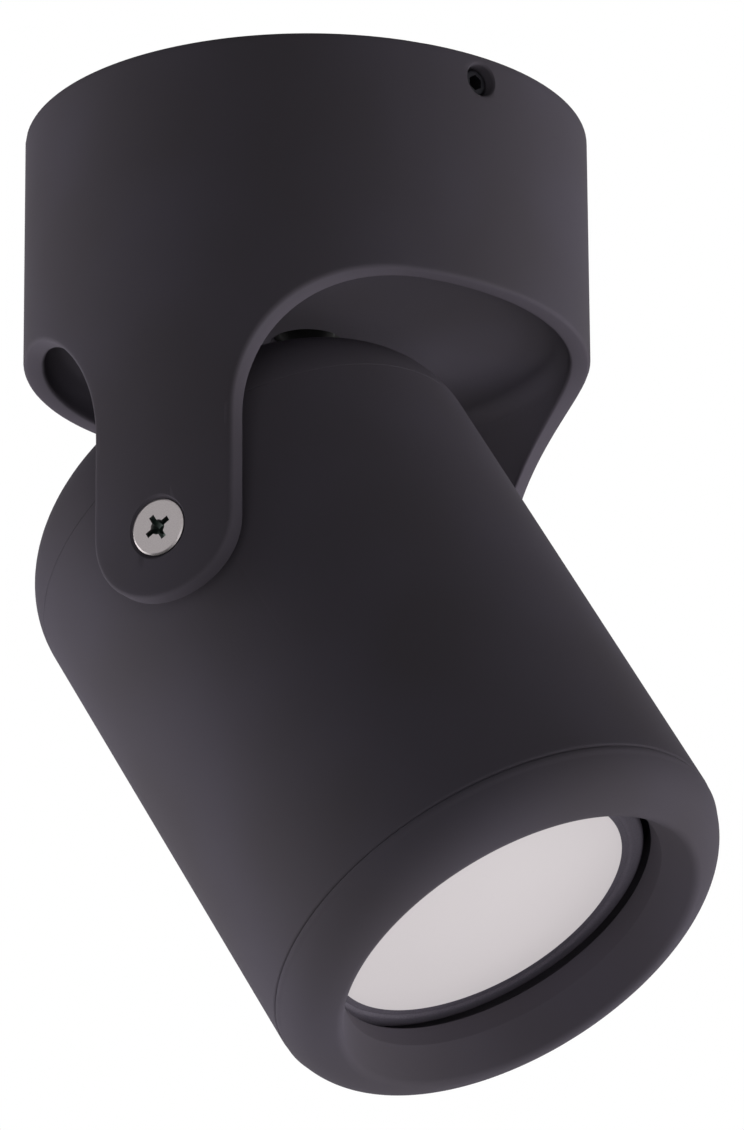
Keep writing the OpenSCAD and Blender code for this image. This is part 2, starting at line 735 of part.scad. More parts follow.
module holder_bracket() {
    color([0.72, 0.73, 0.75]) head_place() difference() {
        union() {
            translate([-bracket_w / 2, -bracket_leg_y, holder_rear])
                cube([bracket_w, 2 * bracket_leg_y, bracket_t]);
            both_sides() {
                translate([-bracket_w / 2, bracket_leg_y - bracket_t, holder_rear])
                    cube([bracket_w, bracket_t, foot_z + bracket_t - holder_rear]);
                translate([-bracket_w / 2, bracket_leg_y - bracket_t, foot_z])
                    cube([bracket_w, bracket_foot_l + bracket_t, bracket_t]);
            }
        }
        translate([0, 0, holder_rear - cut]) cylinder(d = bracket_window_d, h = bracket_t + 2 * cut);
        both_sides() {
            translate([0, holder_screw_y, holder_rear - cut])
                cylinder(r = holder_screw_d / 2 + thread_gap, h = bracket_t + 2 * cut);
            translate([0, bracket_screw_y, foot_z - cut])
                cylinder(r = bracket_screw_d / 2 + thread_gap, h = bracket_t + 2 * cut);
        }
    }
}

module bracket_screws() {
    color([0.75, 0.75, 0.77]) head_place() both_sides() translate([0, bracket_screw_y, foot_z])
        mirror([0, 0, 1]) flat_head_screw(bracket_screw_d, bracket_screw_l, pan_head_d, pan_head_h);
}

module rear_bush() {
    sleeve_r = rear_hole_d / 2 - thread_gap;
    length = cap_wall + 2 * bush_flange_t;
    color([0.08, 0.08, 0.08]) head_place() translate([0, 0, cap_floor - bush_flange_t]) difference() {
        union() {
            cylinder(r = sleeve_r, h = length);
            for (z = [0, cap_wall + bush_flange_t]) translate([0, 0, z])
                cylinder(r = sleeve_r + bush_flange_w, h = bush_flange_t);
        }
        translate([0, 0, -cut]) cylinder(d = bush_bore_d, h = length + 2 * cut);
    }
}

module lamp_base() {
    color([0.95, 0.95, 0.93]) lamp_place() difference() {
        translate([0, 0, -base_l]) cylinder(r = base_r, h = base_l);
        for (side = [-1, 1]) translate([side * pin_orbit, 0, -pin_root - thread_gap])
            cylinder(r = pin_neck_r + thread_gap, h = pin_root + cut);
    }
}

module lamp_pins() {
    color([0.8, 0.78, 0.7]) lamp_place() for (side = [-1, 1]) translate([side * pin_orbit, 0, 0]) {
        translate([0, 0, -pin_root]) cylinder(r = pin_neck_r, h = pin_root + pin_l);
        translate([0, 0, pin_head_start]) cylinder(r = pin_head_r, h = pin_l - pin_head_start);
    }
}

// Half section of the lamp housing's outer form, drawn smaller by the inset
module housing_section(inset) {
    polygon([
        [0, -neck_start], [base_r + thread_gap + housing_wall - inset, -neck_start],
        [base_r + thread_gap + housing_wall - inset, -neck_end], [flare_start_r - inset, -flare_start],
        [flare_end_r - inset, -flare_end], [lamp_r - inset, -band_start],
        [lamp_r - inset, -housing_front], [0, -housing_front]
    ]);
}

module lamp_housing() {
    color([0.93, 0.93, 0.92]) lamp_place() difference() {
        rotate_extrude() difference() {
            union() {
                difference() {
                    housing_section(0);
                    housing_section(housing_wall);
                }
                intersection() {
                    housing_section(housing_wall / 2);
                    translate([ledge_in_r, -ledge_z]) square([lamp_r, ledge_t]);
                }
            }
            translate([0, -neck_start - cut]) square([base_r + thread_gap, 2 * cut]);
            translate([0, -housing_front - cut]) square([lamp_r - housing_wall, 2 * cut]);
        }
        for (k = [0:vent_count - 1]) rotate([0, 0, 360 * k / vent_count])
            translate([lamp_r - vent_depth, -vent_w / 2, -band_start])
                cube([lamp_r, vent_w, flare_end - flare_start]);
    }
}

module lamp_board() {
    color([0.9, 0.9, 0.88]) lamp_place() translate([0, 0, -ledge_z - board_t]) cylinder(r = board_r, h = board_t);
}

module lamp_leds() {
    color([0.95, 0.85, 0.35]) lamp_place() translate([0, 0, -ledge_z - board_t - led_h]) {
        translate([-led_w / 2, -led_w / 2, 0]) cube([led_w, led_w, led_h]);
        for (k = [0:led_count - 1]) rotate([0, 0, 360 * k / led_count])
            translate([led_ring_r - led_w / 2, -led_w / 2, 0]) cube([led_w, led_w, led_h]);
    }
}

module lamp_diffuser() {
    color([0.86, 0.85, 0.84]) lamp_place() translate([0, 0, -lamp_l + rim_lip_t])
        cylinder(r = rim_rebate_r - thread_gap, h = diffuser_t);
}

module lamp_rim() {
    color([0.22, 0.2, 0.21]) lamp_place() translate([0, 0, -lamp_l]) difference() {
        cylinder(r = lamp_r, h = rim_t);
        translate([0, 0, -cut]) cylinder(r = diffuser_r, h = rim_t + 2 * cut);
        translate([0, 0, rim_lip_t]) cylinder(r = rim_rebate_r, h = rim_t);
    }
}

// Half section of the front ring, its nose at the bottom
module ring_section() {
    cone_run = (mouth_r - throat_r) * cut / throat_depth;
    difference() {
        union() {
            intersection() {
                union() {
                    translate([nose_centre_r, -nose_centre]) circle(r = nose_r);
                    translate([0, -ring_tip]) square([nose_centre_r, ring_l]);
                    translate([0, -nose_centre]) square([head_r, nose_r]);
                }
                translate([0, -ring_tip]) square([head_r, ring_l]);
            }
            translate([0, -front_seam - cut]) square([ring_spigot_r, ring_spigot_l + cut]);
        }
        polygon([
            [0, -ring_tip - cut], [mouth_r + cone_run, -ring_tip - cut],
            [throat_r, -ring_tip + throat_depth], [0, -ring_tip + throat_depth]
        ]);
        translate([0, -ring_tip]) square([throat_r, ring_l]);
        translate([0, -ring_tip + throat_depth + throat_lip]) square([throat_relief_r, ring_l]);
        translate([0, -flange_back]) square([ring_space_r, ring_spigot_l + ring_l]);
        translate([groove_r, gasket_at - front_seam - groove_w / 2]) square([ring_spigot_r, groove_w]);
    }
}

module front_ring() {
    color([0.2, 0.2, 0.21]) head_place() rotate_extrude() ring_section();
}

module ring_gasket() {
    color([0.1, 0.1, 0.1]) head_place() translate([0, 0, gasket_at - front_seam])
        rotate_extrude() translate([gasket_r, 0]) circle(d = gasket_d, $fn = 32);
}

canopy();
ceiling_plate();
canopy_grub_screws();
terminal_block();
terminal_clamps();
terminal_screws();
terminal_fixing_screws();
earth_screw();
earth_washer();
earth_lug();
earth_wire();
web_bush();
head_tube();
rear_cap();
rear_cap_screws();
pivot_screws();
pivot_spacers();
pivot_spring_washers();
pivot_nuts();
lamp_holder();
holder_contacts();
holder_screws();
holder_bracket();
bracket_screws();
rear_bush();
lamp_base();
lamp_pins();
lamp_housing();
lamp_board();
lamp_leds();
lamp_diffuser();
lamp_rim();
front_ring();
ring_gasket();
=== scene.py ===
import math

import bmesh
import bpy
from mathutils import Matrix, Vector


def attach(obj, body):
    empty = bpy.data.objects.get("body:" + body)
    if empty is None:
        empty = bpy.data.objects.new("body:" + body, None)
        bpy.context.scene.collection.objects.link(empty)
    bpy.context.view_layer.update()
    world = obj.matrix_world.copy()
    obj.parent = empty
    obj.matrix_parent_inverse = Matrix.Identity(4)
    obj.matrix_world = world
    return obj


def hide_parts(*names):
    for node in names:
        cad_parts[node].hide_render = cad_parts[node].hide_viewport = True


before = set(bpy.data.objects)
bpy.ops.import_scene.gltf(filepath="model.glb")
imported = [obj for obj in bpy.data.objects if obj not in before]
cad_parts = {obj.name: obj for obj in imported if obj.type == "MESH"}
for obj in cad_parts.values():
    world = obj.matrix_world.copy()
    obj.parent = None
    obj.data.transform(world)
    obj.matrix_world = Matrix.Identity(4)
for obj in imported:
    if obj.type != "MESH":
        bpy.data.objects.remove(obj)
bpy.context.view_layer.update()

# The photograph was taken from about a metre away and well below the ceiling, with a long lens.
# The camera's place, turn and lens were fitted to the canopy's rim, the legs and the head.
MM = 0.001
PHOTO_HEIGHT_PX = 1130
FOCAL_PX = 7645.7
SENSOR = 36
CAMERA_PLACE = (512.7, -862.9, -430.6)
CAMERA_TURN = 30.204
CAMERA_RISE = 20.088
CAMERA_ROLL = -0.384


def turned_about(axis, degrees):
    """A turn about one axis, in degrees."""
    return Matrix.Rotation(math.radians(degrees), 4, axis)


def moved(x, y, z):
    """A move in the units of the matrix's own points."""
    return Matrix.Translation((x, y, z))


camera_data = bpy.data.cameras.new("photo_camera")
camera_data.sensor_width = SENSOR
camera_data.lens = FOCAL_PX / PHOTO_HEIGHT_PX * SENSOR
camera = bpy.data.objects.new("photo_camera", camera_data)
bpy.context.scene.collection.objects.link(camera)
bpy.context.scene.camera = camera
camera_aim = turned_about("Z", CAMERA_TURN) @ turned_about("X", 90 + CAMERA_RISE)
camera_aim = camera_aim @ turned_about("Z", CAMERA_ROLL)
camera.matrix_world = Matrix.Translation(Vector(CAMERA_PLACE) * MM) @ camera_aim

# The canopy is one aluminium die casting: a cup with a web across it, a skirt cut by two arches, and two
# legs with round ends. It is powder coated all over in matte charcoal, so every edge is slightly rounded.
CANOPY_R = 40
CANOPY_WALL = 3
SKIRT_Z = -34
ARCH_R = 21
LEG_W = 22
PIVOT_Z = -70.4
LEG_END_Z = PIVOT_Z - 10.2
WEB_Z = -30
WEB_T = 3
WEB_HOLE_R = 4.9
WEB_FILLET = 2.4
CANOPY_EDGE = 0.55
RIM_EDGE = 0.35
FLAT_BY_EDGE = 0.5


def linear(colour):
    """An sRGB hex colour as linear red, green, blue and alpha."""
    parts = [int(colour[k:k + 2], 16) / 255 for k in (1, 3, 5)]
    return [c / 12.92 if c <= 0.04045 else ((c + 0.055) / 1.055) ** 2.4 for c in parts] + [1]


def add_node(tree, kind, settings=(), inputs=()):
    """A new node with its settings, and its inputs as values or as links from other nodes' sockets."""
    made = tree.nodes.new(kind)
    for name, value in dict(settings).items():
        setattr(made, name, value)
    for name, value in dict(inputs).items():
        if isinstance(value, bpy.types.NodeSocket):
            tree.links.new(value, made.inputs[name])
        else:
            made.inputs[name].default_value = value
    return made


def new_material(name, roughness, metallic=0, **sockets):
    """A material with its principled shader set, and Object coordinates to lay patterns on."""
    material = bpy.data.materials.new(name)
    material.use_nodes = True
    tree = material.node_tree
    shader = tree.nodes["Principled BSDF"]
    shader.inputs["Roughness"].default_value = roughness
    shader.inputs["Metallic"].default_value = metallic
    for socket, value in sockets.items():
        shader.inputs[socket.replace("_", " ")].default_value = value
    place = add_node(tree, "ShaderNodeTexCoord").outputs["Object"]
    return material, tree, shader, place


TONE_SHARES = (0.35, 0.65)


def skin(tree, shader, place, spot_mm, detail=2.0, tones=(), rough=(), relief=()):
    """Lays soft spots of a size over a surface. They mix its two tones and lead its roughness and its relief,
    given as a strength and a depth in millimetres. Gives back the mixed tone."""
    spots = add_node(tree, "ShaderNodeTexNoise",
                     inputs={"Vector": place, "Scale": 1 / (spot_mm * MM), "Detail": detail}).outputs["Fac"]
    if rough:
        spread = add_node(tree, "ShaderNodeMapRange",
                          inputs={"Value": spots, "To Min": rough[0], "To Max": rough[1]})
        tree.links.new(spread.outputs["Result"], shader.inputs["Roughness"])
    if relief:
        raised = add_node(tree, "ShaderNodeBump",
                          inputs={"Height": spots, "Strength": relief[0], "Distance": relief[1] * MM})
        tree.links.new(raised.outputs["Normal"], shader.inputs["Normal"])
    if not tones:
        return None
    ramp = add_node(tree, "ShaderNodeValToRGB", inputs={"Fac": spots})
    for stop, share, tone in zip(ramp.color_ramp.elements, TONE_SHARES, tones):
        stop.position = share
        stop.color = linear(tone)
    tree.links.new(ramp.outputs["Color"], shader.inputs["Base Color"])
    return ramp.outputs["Color"]


# Polyester powder coat on aluminium, baked: a matte charcoal film with a fine leathery grain about a third of
# a millimetre across, which breaks up the highlights and is a touch uneven in tone over a few centimetres.
# Its cut edges are painted a little lighter, partly for the thin coat there and partly as a painted
# highlight.
COAT_GRAIN_MM = 0.35
COAT_CLOUD_MM = 22
powder_coat, tree, shader, place = new_material("baked_charcoal_powder_coat", 0.75, IOR=1.5,
                                                Specular_IOR_Level=0.02)
film = skin(tree, shader, place, COAT_CLOUD_MM, 1.0, tones=("#48444a", "#4b474f"))
skin(tree, shader, place, COAT_GRAIN_MM, rough=(0.68, 0.82), relief=(0.25, 0.02))
# Cut edges mix in a lighter tone: partly a thin coat, partly a painted highlight.
thin_and_lit_edge = add_node(tree, "ShaderNodeAttribute", {"attribute_name": "thin_coat"}).outputs["Fac"]
coat_with_lit_edges = add_node(tree, "ShaderNodeMix", {"data_type": "RGBA"}, {0: thin_and_lit_edge, 6: film, 7: linear("#58535c")})
tree.links.new(coat_with_lit_edges.outputs[2], shader.inputs["Base Color"])

MERGE_MM = 0.0005
SHARP_DEGREES = 32


def mended(mesh, mend):
    """Runs one mend on a mesh's shell."""
    shell = bmesh.new()
    shell.from_mesh(mesh)
    mend(shell)
    shell.to_mesh(mesh)
    shell.free()


def close_up(shell):
    """Merges doubled points, drops loose ones and turns the faces outwards."""
    bmesh.ops.remove_doubles(shell, verts=shell.verts, dist=MERGE_MM * MM)
    bmesh.ops.delete(shell, geom=[v for v in shell.verts if not v.link_faces], context="VERTS")
    bmesh.ops.recalc_face_normals(shell, faces=shell.faces)


def drop_slivers(shell):
    """Takes out the faces without area that a cut leaves."""
    bmesh.ops.dissolve_degenerate(shell, edges=shell.edges, dist=MERGE_MM * MM)


def smooth(piece):
    """Smooth faces, apart from sharp edges."""
    piece.data.shade_smooth()
    piece.data.set_sharp_from_angle(angle=math.radians(SHARP_DEGREES))


def make_piece(name, points_mm, faces):
    """A mesh object from points in millimetres, closed, smooth and with its faces outwards."""
    mesh = bpy.data.meshes.new(name)
    mesh.from_pydata([Vector(p) * MM for p in points_mm], [], faces)
    mended(mesh, close_up)
    piece = bpy.data.objects.new(name, mesh)
    bpy.context.scene.collection.objects.link(piece)
    smooth(piece)
    return piece


def arc(centre, radius, start, end, steps=8):
    """Points of an outline along an arc, its angles in degrees."""
    turns = [math.radians(start + (end - start) * k / steps) for k in range(steps + 1)]
    return [(centre[0] + radius * math.cos(a), centre[1] + radius * math.sin(a)) for a in turns]


FLAT_REACH = 1.6
MOST_OF_SIDE = 0.45
EDGE_STEPS = 4


def rounded(outline):
    """A closed outline. A corner with a third number, its radius, is rounded and held flat beside it."""
    made = []
    for k, corner in enumerate(outline):
        here = Vector(corner[:2])
        if len(corner) == 2:
            made.append(tuple(here))
            continue
        before = Vector(outline[k - 1][:2]) - here
        after = Vector(outline[(k + 1) % len(outline)][:2]) - here
        half = before.angle(after) / 2
        most = MOST_OF_SIDE * min(before.length, after.length)
        reach = min(corner[2] / math.tan(half), most)
        radius = reach * math.tan(half)
        before.normalize()
        after.normalize()
        centre = here + (before + after).normalized() * (radius / math.sin(half))
        first = here + before * reach - centre
        last = here + after * reach - centre
        turn = first.angle_signed(last)
        made.append(tuple(here + before * reach * FLAT_REACH))
        for step in range(EDGE_STEPS + 1):
            made.append(tuple(centre + Matrix.Rotation(-turn * step / EDGE_STEPS, 2) @ first))
        made.append(tuple(here + after * reach * FLAT_REACH))
    return made


def put(piece, place):
    """Moves a mesh by a matrix in millimetres, leaving its object at the origin."""
    scale = Matrix.Scale(MM, 4)
    piece.data.transform(scale @ place @ scale.inverted())


def lathe(name, outline, place=Matrix(), steps=160):
    """A piece turned round +Z from a closed outline of radius and height, then put in its place. A flat end
    that reaches the middle is one face."""
    points, faces, rings = [], [], []
    for r, z in outline:
        if r < 1e-6:
            rings.append([len(points)] * steps)
            points.append((0, 0, z))
            continue
        rings.append(list(range(len(points), len(points) + steps)))
        for k in range(steps):
            turn = 2 * math.pi * k / steps
            points.append((r * math.cos(turn), r * math.sin(turn), z))
    heights = [z for r, z in outline]
    for a, b, low, high in zip(rings, rings[1:] + rings[:1], heights, heights[1:] + heights[:1]):
        if low == high and (a[0] == a[1]) != (b[0] == b[1]):
            faces.append(b if a[0] == a[1] else a)
            continue
        for k in range(steps):
            face = list(dict.fromkeys([a[k], a[(k + 1) % steps], b[(k + 1) % steps], b[k]]))
            if len(face) > 2:
                faces.append(face)
    piece = make_piece(name, points, faces)
    put(piece, place)
    return piece


def as_mesh(piece):
    """The mesh that a piece has once its modifiers are worked out."""
    return bpy.data.meshes.new_from_object(piece.evaluated_get(bpy.context.evaluated_depsgraph_get()))


def carve(piece, tool, how="DIFFERENCE"):
    """Cuts a tool out of a piece, or joins it on, and throws the tool away."""
    modifier = piece.modifiers.new("carve", "BOOLEAN")
    modifier.operation = how
    modifier.solver = "EXACT"
    modifier.object = tool
    mesh = as_mesh(piece)
    mended(mesh, drop_slivers)
    piece.modifiers.clear()
    mesh.name = piece.name
    piece.data = mesh
    bpy.data.objects.remove(tool)
    smooth(piece)


def finish_piece(piece, material, body, slot, *nodes):
    """Gives a piece its material and its body, and says which CAD nodes it stands for. Its slot is not used.
    """
    piece.data.materials.clear()
    piece.data.materials.append(material)
    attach(piece, body)
    if nodes:
        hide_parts(*nodes)


LEG_ROUND_STEPS = 14
LEG_SIDE_STEPS = 10
ARCH_STEPS = 26
SKIRT_STEPS = 14
LEG_TOP_SHARE = 0.6


def quarter_of_lower_edge():
    """The canopy's lower edge from the leg's end to the skirt's side: x, z, the way into the wall, the x that
    the wall's lines reach at the top, and the share of the skirt's level run."""
    half, round_z = LEG_W / 2, LEG_END_Z + LEG_W / 2
    arch_x, arch_z = half + ARCH_R, SKIRT_Z - ARCH_R
    columns = []
    for k in range(LEG_ROUND_STEPS):
        turn = math.pi / 2 * k / LEG_ROUND_STEPS
        columns.append((half * math.sin(turn), round_z - half * math.cos(turn), -math.sin(turn),
                        math.cos(turn), LEG_TOP_SHARE * half * math.sin(turn), 0))
    for k in range(LEG_SIDE_STEPS):
        share = k / LEG_SIDE_STEPS
        columns.append((half, round_z + (arch_z - round_z) * share, -1, 0,
                        half * (LEG_TOP_SHARE + (1 - LEG_TOP_SHARE) * share), 0))
    for k in range(ARCH_STEPS):
        turn = math.pi / 2 * k / ARCH_STEPS
        x = arch_x - ARCH_R * math.cos(turn)
        columns.append((x, arch_z + ARCH_R * math.sin(turn), -math.cos(turn), math.sin(turn), x, 0))
    for k in range(1, SKIRT_STEPS + 1):
        columns.append((arch_x, SKIRT_Z, 0, 1, arch_x, k / SKIRT_STEPS))
    return columns


def on_wall(x, z, share, inset):
    """A point of the canopy's wall, at the given depth under its outer face."""
    r = CANOPY_R - inset
    level = math.asin((LEG_W / 2 + ARCH_R) / r)
    turn = level + (math.pi / 2 - level) * share if share else math.asin(x / r)
    return (r * math.sin(turn), -r * math.cos(turn), z)


WALL_ROWS = 26
WALL_EDGE_STEPS = 5


def quarter_round(radius):
    """Depth into the wall and height over the edge along a quarter round, from the face to the edge."""
    turns = [math.pi / 2 * k / WALL_EDGE_STEPS for k in range(WALL_EDGE_STEPS + 1)]
    return [(radius * (1 - math.cos(a)), radius * (1 - math.sin(a))) for a in turns]


def wall_section(column):
    """The closed run of points round the wall at one column: down the outer face and up the inner one."""
    x, z, in_x, in_z, top_x, share = column
    low, high = quarter_round(CANOPY_EDGE), quarter_round(RIM_EDGE)
    start = CANOPY_EDGE + FLAT_BY_EDGE
    from_x, from_z = x + in_x * start, z + in_z * start
    face = []
    for k in range(WALL_ROWS + 1):
        part = k / WALL_ROWS
        face.append((from_x + (top_x - from_x) * part,
                     from_z + (-RIM_EDGE - FLAT_BY_EDGE - from_z) * part))
    loop = [on_wall(px, pz, share, 0) for px, pz in reversed(face)]
    loop += [on_wall(x + in_x * d, z + in_z * d, share, w) for w, d in low]
    loop += [on_wall(x + in_x * d, z + in_z * d, share, CANOPY_WALL - w) for w, d in reversed(low)]
    loop += [on_wall(px, pz, share, CANOPY_WALL) for px, pz in face]
    loop += [on_wall(top_x, -d, share, CANOPY_WALL - w) for w, d in high]
    loop += [on_wall(top_x, -d, share, w) for w, d in reversed(high)]
    return loop


quarter = [wall_section(column) for column in quarter_of_lower_edge()]
loops = list(quarter)
loops += [[(x, -y, z) for x, y, z in loop] for loop in quarter[-2::-1]]
loops += [[(-x, -y, z) for x, y, z in loop] for loop in quarter[1:]]
loops += [[(-x, y, z) for x, y, z in loop] for loop in quarter[-2:0:-1]]
count = len(loops[0])
wall_faces = []
for k in range(len(loops)):
    near, far = k * count, (k + 1) % len(loops) * count
    wall_faces += [(near + j, near + (j + 1) % count, far + (j + 1) % count, far + j) for j in range(count)]
canopy = make_piece("canopy_casting", [p for loop in loops for p in loop], wall_faces)

# The web is cast with the cup and runs into the wall with a fillet under it. Its bosses take the terminal
# block's screws and the earth screw, and the hole in its middle lets the cable through.
WEB_EDGE = 0.3
ROOT = 1
BOSS_H = 3
BOSS_EDGE = 0.4
BOSS_SIDES = 48
BORE_SIDES = 32
BLOCK_SCREW_PLACES = ((-5, 19), (5, 19))
BLOCK_BOSS_R = 3.5
BLOCK_BORE_R = 1.3
EARTH_SCREW_PLACE = (-12, -14)
EARTH_BOSS_R = 4
EARTH_BORE_R = 2.05
wall_r = CANOPY_R - CANOPY_WALL
web_top = WEB_Z + WEB_T
web_outline = rounded([(WEB_HOLE_R, WEB_Z, WEB_EDGE), (WEB_HOLE_R, web_top, WEB_EDGE),
                       (wall_r + ROOT, web_top), (wall_r + ROOT, WEB_Z - WEB_FILLET)])
web_outline += [(wall_r, WEB_Z - WEB_FILLET)]
web_outline += arc((wall_r - WEB_FILLET, WEB_Z - WEB_FILLET), WEB_FILLET, 0, 90)[1:]
carve(canopy, lathe("web", web_outline), "UNION")
bosses = [(at, BLOCK_BOSS_R, BLOCK_BORE_R) for at in BLOCK_SCREW_PLACES]
bosses += [(EARTH_SCREW_PLACE, EARTH_BOSS_R, EARTH_BORE_R)]
for (x, y), boss_r, bore_r in bosses:
    boss_outline = rounded([(0, WEB_Z + ROOT), (boss_r, WEB_Z + ROOT), (boss_r, web_top + BOSS_H, BOSS_EDGE),
                            (0, web_top + BOSS_H)])
    carve(canopy, lathe("boss", boss_outline, moved(x, y, 0), BOSS_SIDES), "UNION")
    bore_outline = [(0, WEB_Z + ROOT), (bore_r, WEB_Z + ROOT), (bore_r, 0), (0, 0)]
    carve(canopy, lathe("boss_bore", bore_outline, moved(x, y, 0), BORE_SIDES))

# Two holes near the rim let the grub screws in. They are drilled after casting, each with a soft flare that
# the coat has rounded.
SIDE_HOLE_TURN = -21.8
SIDE_HOLE_Z = -3.5
SIDE_HOLE_R = 2.3
SIDE_FLARE = 0.5
SIDE_FLARE_R = 3.4
OVERRUN = 1
flare_centre = (SIDE_HOLE_R + SIDE_FLARE, CANOPY_R - SIDE_FLARE)
for side in (0, 180):
    out = turned_about("Z", SIDE_HOLE_TURN + side) @ moved(0, 0, SIDE_HOLE_Z) @ turned_about("Y", 90)
    flare = [(0, wall_r - 3 * OVERRUN), (SIDE_HOLE_R, wall_r - 3 * OVERRUN)]
    flare += arc(flare_centre, SIDE_FLARE, 180, 100, 4)
    flare += [(SIDE_FLARE_R, CANOPY_R + OVERRUN), (0, CANOPY_R + OVERRUN)]
    carve(canopy, lathe("side_hole", flare, out, BOSS_SIDES))

# Each leg has a countersunk bore for its pivot screw, and a flat seat inside for the spacer. The skirt's and
# the legs' cut edges get a lighter tone, partly a thin coat and partly a painted highlight, less so lower
# down on the legs.
SCREW_R = 2
SCREW_HEAD_R = 4.05
SCREW_LAND = 0.3
HEAD_Y = CANOPY_R - 0.25
BORE_R = 2.08
SEAT_R = 5.2
SEAT_Y = 37.3
SEAT_FROM_Y = 34.3
MOUTH_R = SCREW_HEAD_R + 0.3
MOUTH_FLARE = 0.35
MOUTH_FLARE_DEPTH = 0.4
LEG_BORE_SIDES = 72
cone_y = HEAD_Y - SCREW_LAND - (SCREW_HEAD_R - SCREW_R)
for side in (0, 180):
    out = turned_about("Z", side) @ moved(0, 0, PIVOT_Z) @ turned_about("X", 90)
    sink = [(0, SEAT_FROM_Y), (SEAT_R, SEAT_FROM_Y), (SEAT_R, SEAT_Y), (BORE_R, SEAT_Y), (BORE_R, cone_y),
            (MOUTH_R, cone_y + MOUTH_R - BORE_R)]
    sink += arc((MOUTH_R + MOUTH_FLARE, CANOPY_R - MOUTH_FLARE_DEPTH), MOUTH_FLARE, 180, 100, 4)
    sink += [(SEAT_R, CANOPY_R + OVERRUN), (0, CANOPY_R + OVERRUN)]
    carve(canopy, lathe("leg_bore", sink, out, LEG_BORE_SIDES))
THIN_LIT_EDGE_BELOW_Z = -10
THIN_LIT_EDGE_FROM_Z = -66
THIN_LIT_EDGE_RUN = 22
THIN_LIT_EDGE_LEAST = 0.3
THIN_LIT_EDGE_TURN = 0.9
# Lighter cut edges: partly a thin coat, partly a painted highlight, fading towards the legs' lower ends.
thin_coat = canopy.data.attributes.new("thin_coat", "FLOAT", "POINT")
for point, thin_and_lit_edge in zip(canopy.data.vertices, thin_coat.data):
    out = Vector((point.co.x, point.co.y, 0))
    if out.length > (wall_r - 0.1) * MM and point.co.z < THIN_LIT_EDGE_BELOW_Z * MM:
        share = min(1, max(THIN_LIT_EDGE_LEAST, (point.co.z / MM - THIN_LIT_EDGE_FROM_Z) / THIN_LIT_EDGE_RUN))
        thin_and_lit_edge.value = share * max(0, THIN_LIT_EDGE_TURN - abs(point.normal.dot(out.normalized()))) / THIN_LIT_EDGE_TURN
finish_piece(canopy, powder_coat, "base", "charcoal_powder_coat", "canopy")

# The head is an extruded aluminium tube, turned square at both ends, in the same powder coat. Its ends meet
# the rear cap and the front ring in two fine seams, where the coat rounds every edge. Inside are two pads
# that carry the pivot bores and two ribbed bosses for the rear cap's screws.
HEAD_R = 33.6
TUBE_R = 31.4
REAR_S = -15
FRONT_S = 57.4
SEAM_EDGE = 0.35
REAR_SEAM_EDGE = 0.1
IN_EDGE = 0.2
REST_TILT = 31
HEAD_SIDES = 192
PAD_R = 6
PAD_Y = 30.2
RIB_HALF_W = 2
BOSS_X = 27
BOSS_R = 4
BOSS_L = 12.6
TUBE_THREAD_R = 1.55
TUBE_THREAD_L = 10.85
PIVOT_BORE_R = 2.05
SPOT_R = 5.2
SPOT_Y = 33.2
PIVOT_BORE_FROM_Y = 29
PIVOT_BORE_TO_Y = 35


def box(name, low, high, place=Matrix()):
    """A plain block between two corners, used to cut or to join."""
    points = [(x, y, z) for x in (low[0], high[0]) for y in (low[1], high[1]) for z in (low[2], high[2])]
    faces = [(0, 1, 3, 2), (4, 6, 7, 5), (0, 4, 5, 1), (2, 3, 7, 6), (0, 2, 6, 4), (1, 5, 7, 3)]
    piece = make_piece(name, points, faces)
    put(piece, place)
    return piece


head_place = moved(0, 0, PIVOT_Z) @ turned_about("Y", -REST_TILT)
forward = head_place @ turned_about("X", 180)
tube_outline = rounded([(TUBE_R, REAR_S, IN_EDGE), (HEAD_R, REAR_S, REAR_SEAM_EDGE),
                        (HEAD_R, FRONT_S, SEAM_EDGE), (TUBE_R, FRONT_S, IN_EDGE)])
tube = lathe("head_tube_body", tube_outline, steps=HEAD_SIDES)
root_r = TUBE_R + ROOT
for side in (0, 180):
    turned = turned_about("Z", side)
    outwards = turned @ turned_about("X", 90)
    on_boss = turned @ moved(BOSS_X, 0, 0)
    pad = [(0, PAD_Y), (PAD_R, PAD_Y), (PAD_R, root_r), (0, root_r)]
    carve(tube, lathe("pad", pad, outwards, BOSS_SIDES), "UNION")
    rib = box("rib", (BOSS_X, -RIB_HALF_W, REAR_S), (root_r, RIB_HALF_W, REAR_S + BOSS_L), turned)
    carve(tube, rib, "UNION")
    boss = [(0, REAR_S), (BOSS_R, REAR_S), (BOSS_R, REAR_S + BOSS_L), (0, REAR_S + BOSS_L)]
    carve(tube, lathe("tube_boss", boss, on_boss, BOSS_SIDES), "UNION")
    bore = [(0, REAR_S - OVERRUN), (TUBE_THREAD_R, REAR_S - OVERRUN),
            (TUBE_THREAD_R, REAR_S + TUBE_THREAD_L), (0, REAR_S + TUBE_THREAD_L)]
    carve(tube, lathe("tube_boss_bore", bore, on_boss, BORE_SIDES))
    hole = [(0, PIVOT_BORE_FROM_Y), (PIVOT_BORE_R, PIVOT_BORE_FROM_Y), (PIVOT_BORE_R, SPOT_Y),
            (SPOT_R, SPOT_Y), (SPOT_R, PIVOT_BORE_TO_Y), (0, PIVOT_BORE_TO_Y)]
    carve(tube, lathe("tube_bore", hole, outwards, BOSS_SIDES))
put(tube, forward)
finish_piece(tube, powder_coat, "head", "charcoal_powder_coat", "head_tube")

